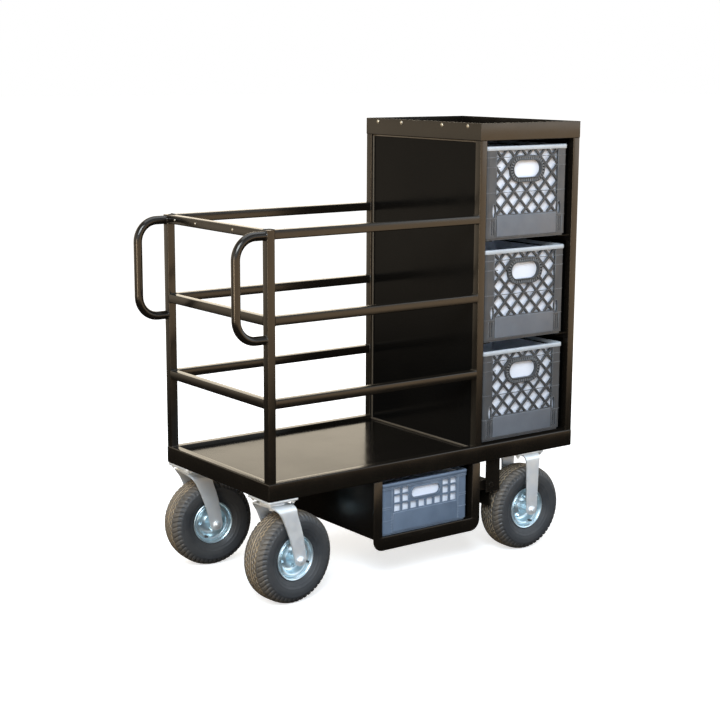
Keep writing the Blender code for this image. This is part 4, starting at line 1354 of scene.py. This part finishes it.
def make_casters():
    """A tyre, rim, valve and axle at each wheel, and the fork that holds it."""
    tyre = tyre_mesh()
    rim = mesh_of(rim_bm(), "rim", "rim", 30)
    axle = mesh_of(axle_bm(), "axle", "zinc", 30)
    valve = mesh_of(valve_bm(), "valve", "tyre", 40)
    for name, place in wheel_frames().items():
        spun = place @ Matrix.Rotation(WHEEL_TURNS[name], 4, "Y")
        body = f"wheel_{name}"
        piece(f"tyre_{name}_rubber", tyre, "tyre", body, [f"tyre_{name}"], place=spun)
        piece(f"rim_{name}_steel", rim, "rim", body, [f"rim_{name}"], place=spun)
        piece(f"valve_{name}", valve, "tyre", body, place=spun)
        holder = f"swivel_{name}" if name.startswith("left") else "cart"
        piece(f"axle_{name}_bolt", axle, "zinc", holder, [f"axle_{name}"], place=place)
        if name.startswith("left"):
            make_swivel(name, place)
        else:
            make_rigid(name, place)


def race_bm(bottom, top):
    """Two pressed cups with the ball gap between them."""
    middle = (bottom + top) / 2
    lower = [(0.0100, bottom), (0.0350, bottom), (0.0376, bottom + 0.0012), (0.0380, bottom + 0.0040)]
    lower += [(0.0372, middle - 0.0010), (0.0345, middle - 0.0006), (0.0345, middle + 0.0012)]
    upper = [(0.0352, middle + 0.0014), (0.0366, middle + 0.0030), (0.0352, top - 0.0012)]
    upper += [(0.0330, top - 0.0002), (0.0100, top - 0.0002)]
    return lathe_bm(lower + upper, 48, closed=True)


def make_fork(name, shape, body, place):
    """Thickens a fork's sheet and puts it on its body."""
    replaced = [f"fork_{name}"]
    solid_sheet(f"fork_{name}_steel", shape, "zinc", FORK_PLATE, 0.0009, body, replaces=replaced, place=place)


def make_swivel(name, wheel_place):
    """The fork and its ball race turn about the kingpin, which hangs from the plate."""
    race_top = corners_of(f"fork_{name}")[1].z
    centre = swivel_centres()[name]
    toe = wheel_place.to_euler().z
    upright = Matrix.Translation((centre.x, centre.y, 0))
    turned = upright @ Matrix.Rotation(toe, 4, "Z")
    trail = (wheel_place.translation.xy - centre.xy).length
    shape = fork_bm(SWIVEL_CROWN, trail, (0.070, 0.054, 0.040))
    make_fork(name, shape, f"swivel_{name}", turned)
    race = race_bm(SWIVEL_CROWN - 0.0005, race_top)
    piece(f"race_{name}", race, "zinc", f"swivel_{name}", place=turned)
    plate_low, plate_high = corners_of(f"caster_plate_{name}")
    half_x, half_y = (plate_high.x - plate_low.x) / 2, (plate_high.y - plate_low.y) / 2
    top = plate_high.z + OVERLAP
    bottom = plate_high.z - PLATE_THICK
    parts = [top_plate_bm(half_x, half_y, bottom, top), *plate_bolts(half_x, half_y, 0.0125, bottom)]
    parts.append(cylinder_bm(0.0080, (0, 0, plate_low.z), (0, 0, bottom), 24, 0.001))
    nut_place = Matrix.Translation((0, 0, plate_low.z + 0.0015))
    parts.append((hex_head(0.0128, 0.0105), nut_place))
    node = f"caster_plate_{name}"
    piece(f"{node}_steel", joined(*parts), "zinc", "cart", [node], place=upright)


def make_rigid(name, wheel_place):
    """The fork is fixed to its own plate, straight above the axle."""
    low, high = corners_of(f"fork_{name}")
    crown = high.z - PLATE_THICK
    place = Matrix.Translation((wheel_place.translation.x, wheel_place.translation.y, 0))
    make_fork(name, fork_bm(crown + 0.0005, 0.0, (0.062, 0.050, 0.042)), "cart", place)
    half_x, half_y = (high.x - low.x) / 2, 0.051
    parts = [top_plate_bm(half_x, half_y, crown, high.z + OVERLAP)]
    parts += plate_bolts(half_x, half_y, 0.0105, crown)
    piece(f"fork_{name}_plate", joined(*parts), "zinc", "cart", place=place)


# ---- Everything else from the CAD --------------------------------------------------------
def dress_nodes():
    """CAD nodes that keep their shape take their slot's material."""
    slots = {s["node"]: s["material_slot"] for s in frame["record"]["subparts"]}
    for node, obj in frame["nodes"].items():
        if obj.hide_render:
            continue
        look = "panel" if node.startswith("cabinet_panel") else slots[node]
        obj.data.materials.clear()
        obj.data.materials.append(MATERIALS[look])


def lit_ground(look):
    """The floor as it lights the cart: dark close by, bright further out and most in front."""
    narrowed = look.add("VectorMath")
    narrowed.operation = "MULTIPLY"
    narrowed.inputs[1].default_value = (0.72, 1, 1)
    look.links.new(look.coords, narrowed.inputs[0])
    distance = look.add("VectorMath")
    distance.operation = "LENGTH"
    look.links.new(narrowed.outputs["Vector"], distance.inputs[0])
    split = look.add("SeparateXYZ")
    look.links.new(look.coords, split.inputs["Vector"])
    ahead = look.ramp(split.outputs["Y"], 2.0, -1.6)
    behind = look.mix(look.ramp(distance.outputs["Value"], 3.0, 8.0), (0.45, 0.38, 0.29), (1.02, 0.86, 0.66))
    far = look.mix(ahead, behind, (1.9, 1.42, 0.95))
    ground = look.add("Emission")
    light = look.mix(look.ramp(distance.outputs["Value"], 2.3, 4.1), (0.03, 0.027, 0.024), far)
    look.links.new(light, ground.inputs["Color"])
    return ground.outputs["Emission"]


def make_stage():
    """A wide pale floor that the camera sees run out to a white horizon."""
    bm = bmesh.new()
    bmesh.ops.create_grid(bm, x_segments=1, y_segments=1, size=60)
    mesh = bare_mesh(bm, "floor")
    look = Look("floor_paper", (0.88, 0.88, 0.88), 0.9, Specular_IOR_Level=0.0)
    look.shader.inputs["Emission Color"].default_value = (1, 1, 1, 1)
    look.shader.inputs["Emission Strength"].default_value = 0.60
    look.seen_or_lit(look.shader.outputs["BSDF"], lit_ground(look), "Material Output")
    mesh.materials.append(look.material)
    put("floor", mesh)


def soft_light(name, place, target, size, brightness, colour):
    """A soft panel of the given brightness, in radiance, that no camera sees."""
    data = bpy.data.lights.new(name, "AREA")
    data.shape = "RECTANGLE"
    data.size, data.size_y = size
    data.energy = brightness * math.pi * size[0] * size[1]
    data.color = colour
    light = put(name, data)
    light.location = place
    light.rotation_mode = "QUATERNION"
    light.rotation_quaternion = (Vector(target) - Vector(place)).to_track_quat("-Z", "Y")
    light.visible_camera = False


HORIZON = (1.05, 1.05, 1.05)
# the height of a direction, from the horizon up, and the sky's colour there
SKY = ((0.0, (0.30, 0.29, 0.28)), (0.03, HORIZON), (0.28, HORIZON), (0.62, (0.42, 0.43, 0.45)))


def make_world():
    """White where the camera sees it. It lights the cart with a bright band above the horizon,
    warmer behind the cart than in front, under a dimmer sky."""
    world = bpy.data.worlds.new("studio")
    bpy.context.scene.world = world
    world.use_nodes = True
    tree = Tree(world.node_tree)
    split = tree.add("SeparateXYZ")
    tree.links.new(tree.add("TexCoord").outputs["Generated"], split.inputs["Vector"])
    sky = tree.add("ValToRGB")
    sky.color_ramp.interpolation = "EASE"
    elements = sky.color_ramp.elements
    elements.remove(elements[-1])
    elements[0].color = (*SKY[0][1], 1)
    for place, colour in SKY[1:]:
        elements.new(place).color = (*colour, 1)
    tree.links.new(split.outputs["Z"], sky.inputs["Fac"])
    side = tree.add("MapRange", From_Min=-0.5, From_Max=0.7)
    tree.links.new(split.outputs["Y"], side.inputs["Value"])
    tint = tree.mix(side.outputs["Result"], (0.86, 0.95, 1.06), (1.20, 1.06, 0.84))
    tinted = tree.add("Mix")
    tinted.data_type = "RGBA"
    tinted.blend_type = "MULTIPLY"
    tinted.inputs["Factor"].default_value = 1
    tree.links.new(sky.outputs["Color"], tinted.inputs[6])
    tree.links.new(tint, tinted.inputs[7])
    lit = tree.nodes["Background"]
    tree.links.new(tinted.outputs[2], lit.inputs["Color"])
    seen = tree.add("Background", Color=(1, 1, 1, 1))
    tree.seen_or_lit(seen.outputs["Background"], lit.outputs["Background"], "World Output")


def make_lights():
    make_world()
    soft_light("low_left", (-3.5, -1.3, 0.8), (-0.6, 0.0, 0.9), (0.5, 1.3), 14.0, (1.0, 0.84, 0.64))
    soft_light("front_right", (3.66, -2.88, 1.95), (0.35, 0.0, 0.9), (3.0, 2.1), 1.4, (0.88, 0.97, 1.06))
    soft_light("front_left", (-2.8, -3.4, 3.5), (0.0, 0.0, 0.5), (2.2, 2.0), 17.0, (0.84, 0.95, 1.06))
    soft_light("back_right", (2.5, 3.5, 1.5), (0.0, 0.0, 0.4), (4.2, 1.7), 0.8, (1.0, 0.88, 0.70))
    soft_light("overhead", (0.0, 0.0, 4.0), (0.0, 0.0, 0.0), (3.0, 3.0), 2.2, (0.86, 0.95, 1.06))


def make_camera():
    """At the photograph's place: yaw, pitch and roll of the view, then the lens."""
    data = bpy.data.cameras.new("camera")
    data.lens = 77.82
    data.sensor_width = 36.0
    data.clip_start, data.clip_end = 0.1, 100
    yaw, pitch, roll = (math.radians(a) for a in (36.7165, -10.7787, 0.2703))
    forward = Vector((math.sin(yaw) * math.cos(pitch), math.cos(yaw) * math.cos(pitch), math.sin(pitch)))
    right = Vector((math.cos(yaw), -math.sin(yaw), 0))
    up = right.cross(forward)
    right, up = right * math.cos(roll) + up * math.sin(roll), up * math.cos(roll) - right * math.sin(roll)
    turn = Matrix((right, up, -forward)).transposed()
    base_low = corners_of("base_tube_near")[0]
    place = Vector((base_low.x - 2.2831, base_low.y - 3.4788, 1.5159))
    camera = put("camera", data)
    camera.matrix_world = Matrix.Translation(place) @ turn.to_4x4()
    bpy.context.scene.camera = camera


def main():
    make_base()
    make_rails()
    make_handles()
    make_top_band()
    make_screws()
    make_crates()
    make_bay()
    make_deck()
    make_panel_trim()
    make_casters()
    dress_nodes()
    make_stage()
    make_lights()
    make_camera()
    bpy.context.scene.view_settings.view_transform = "Standard"


main()
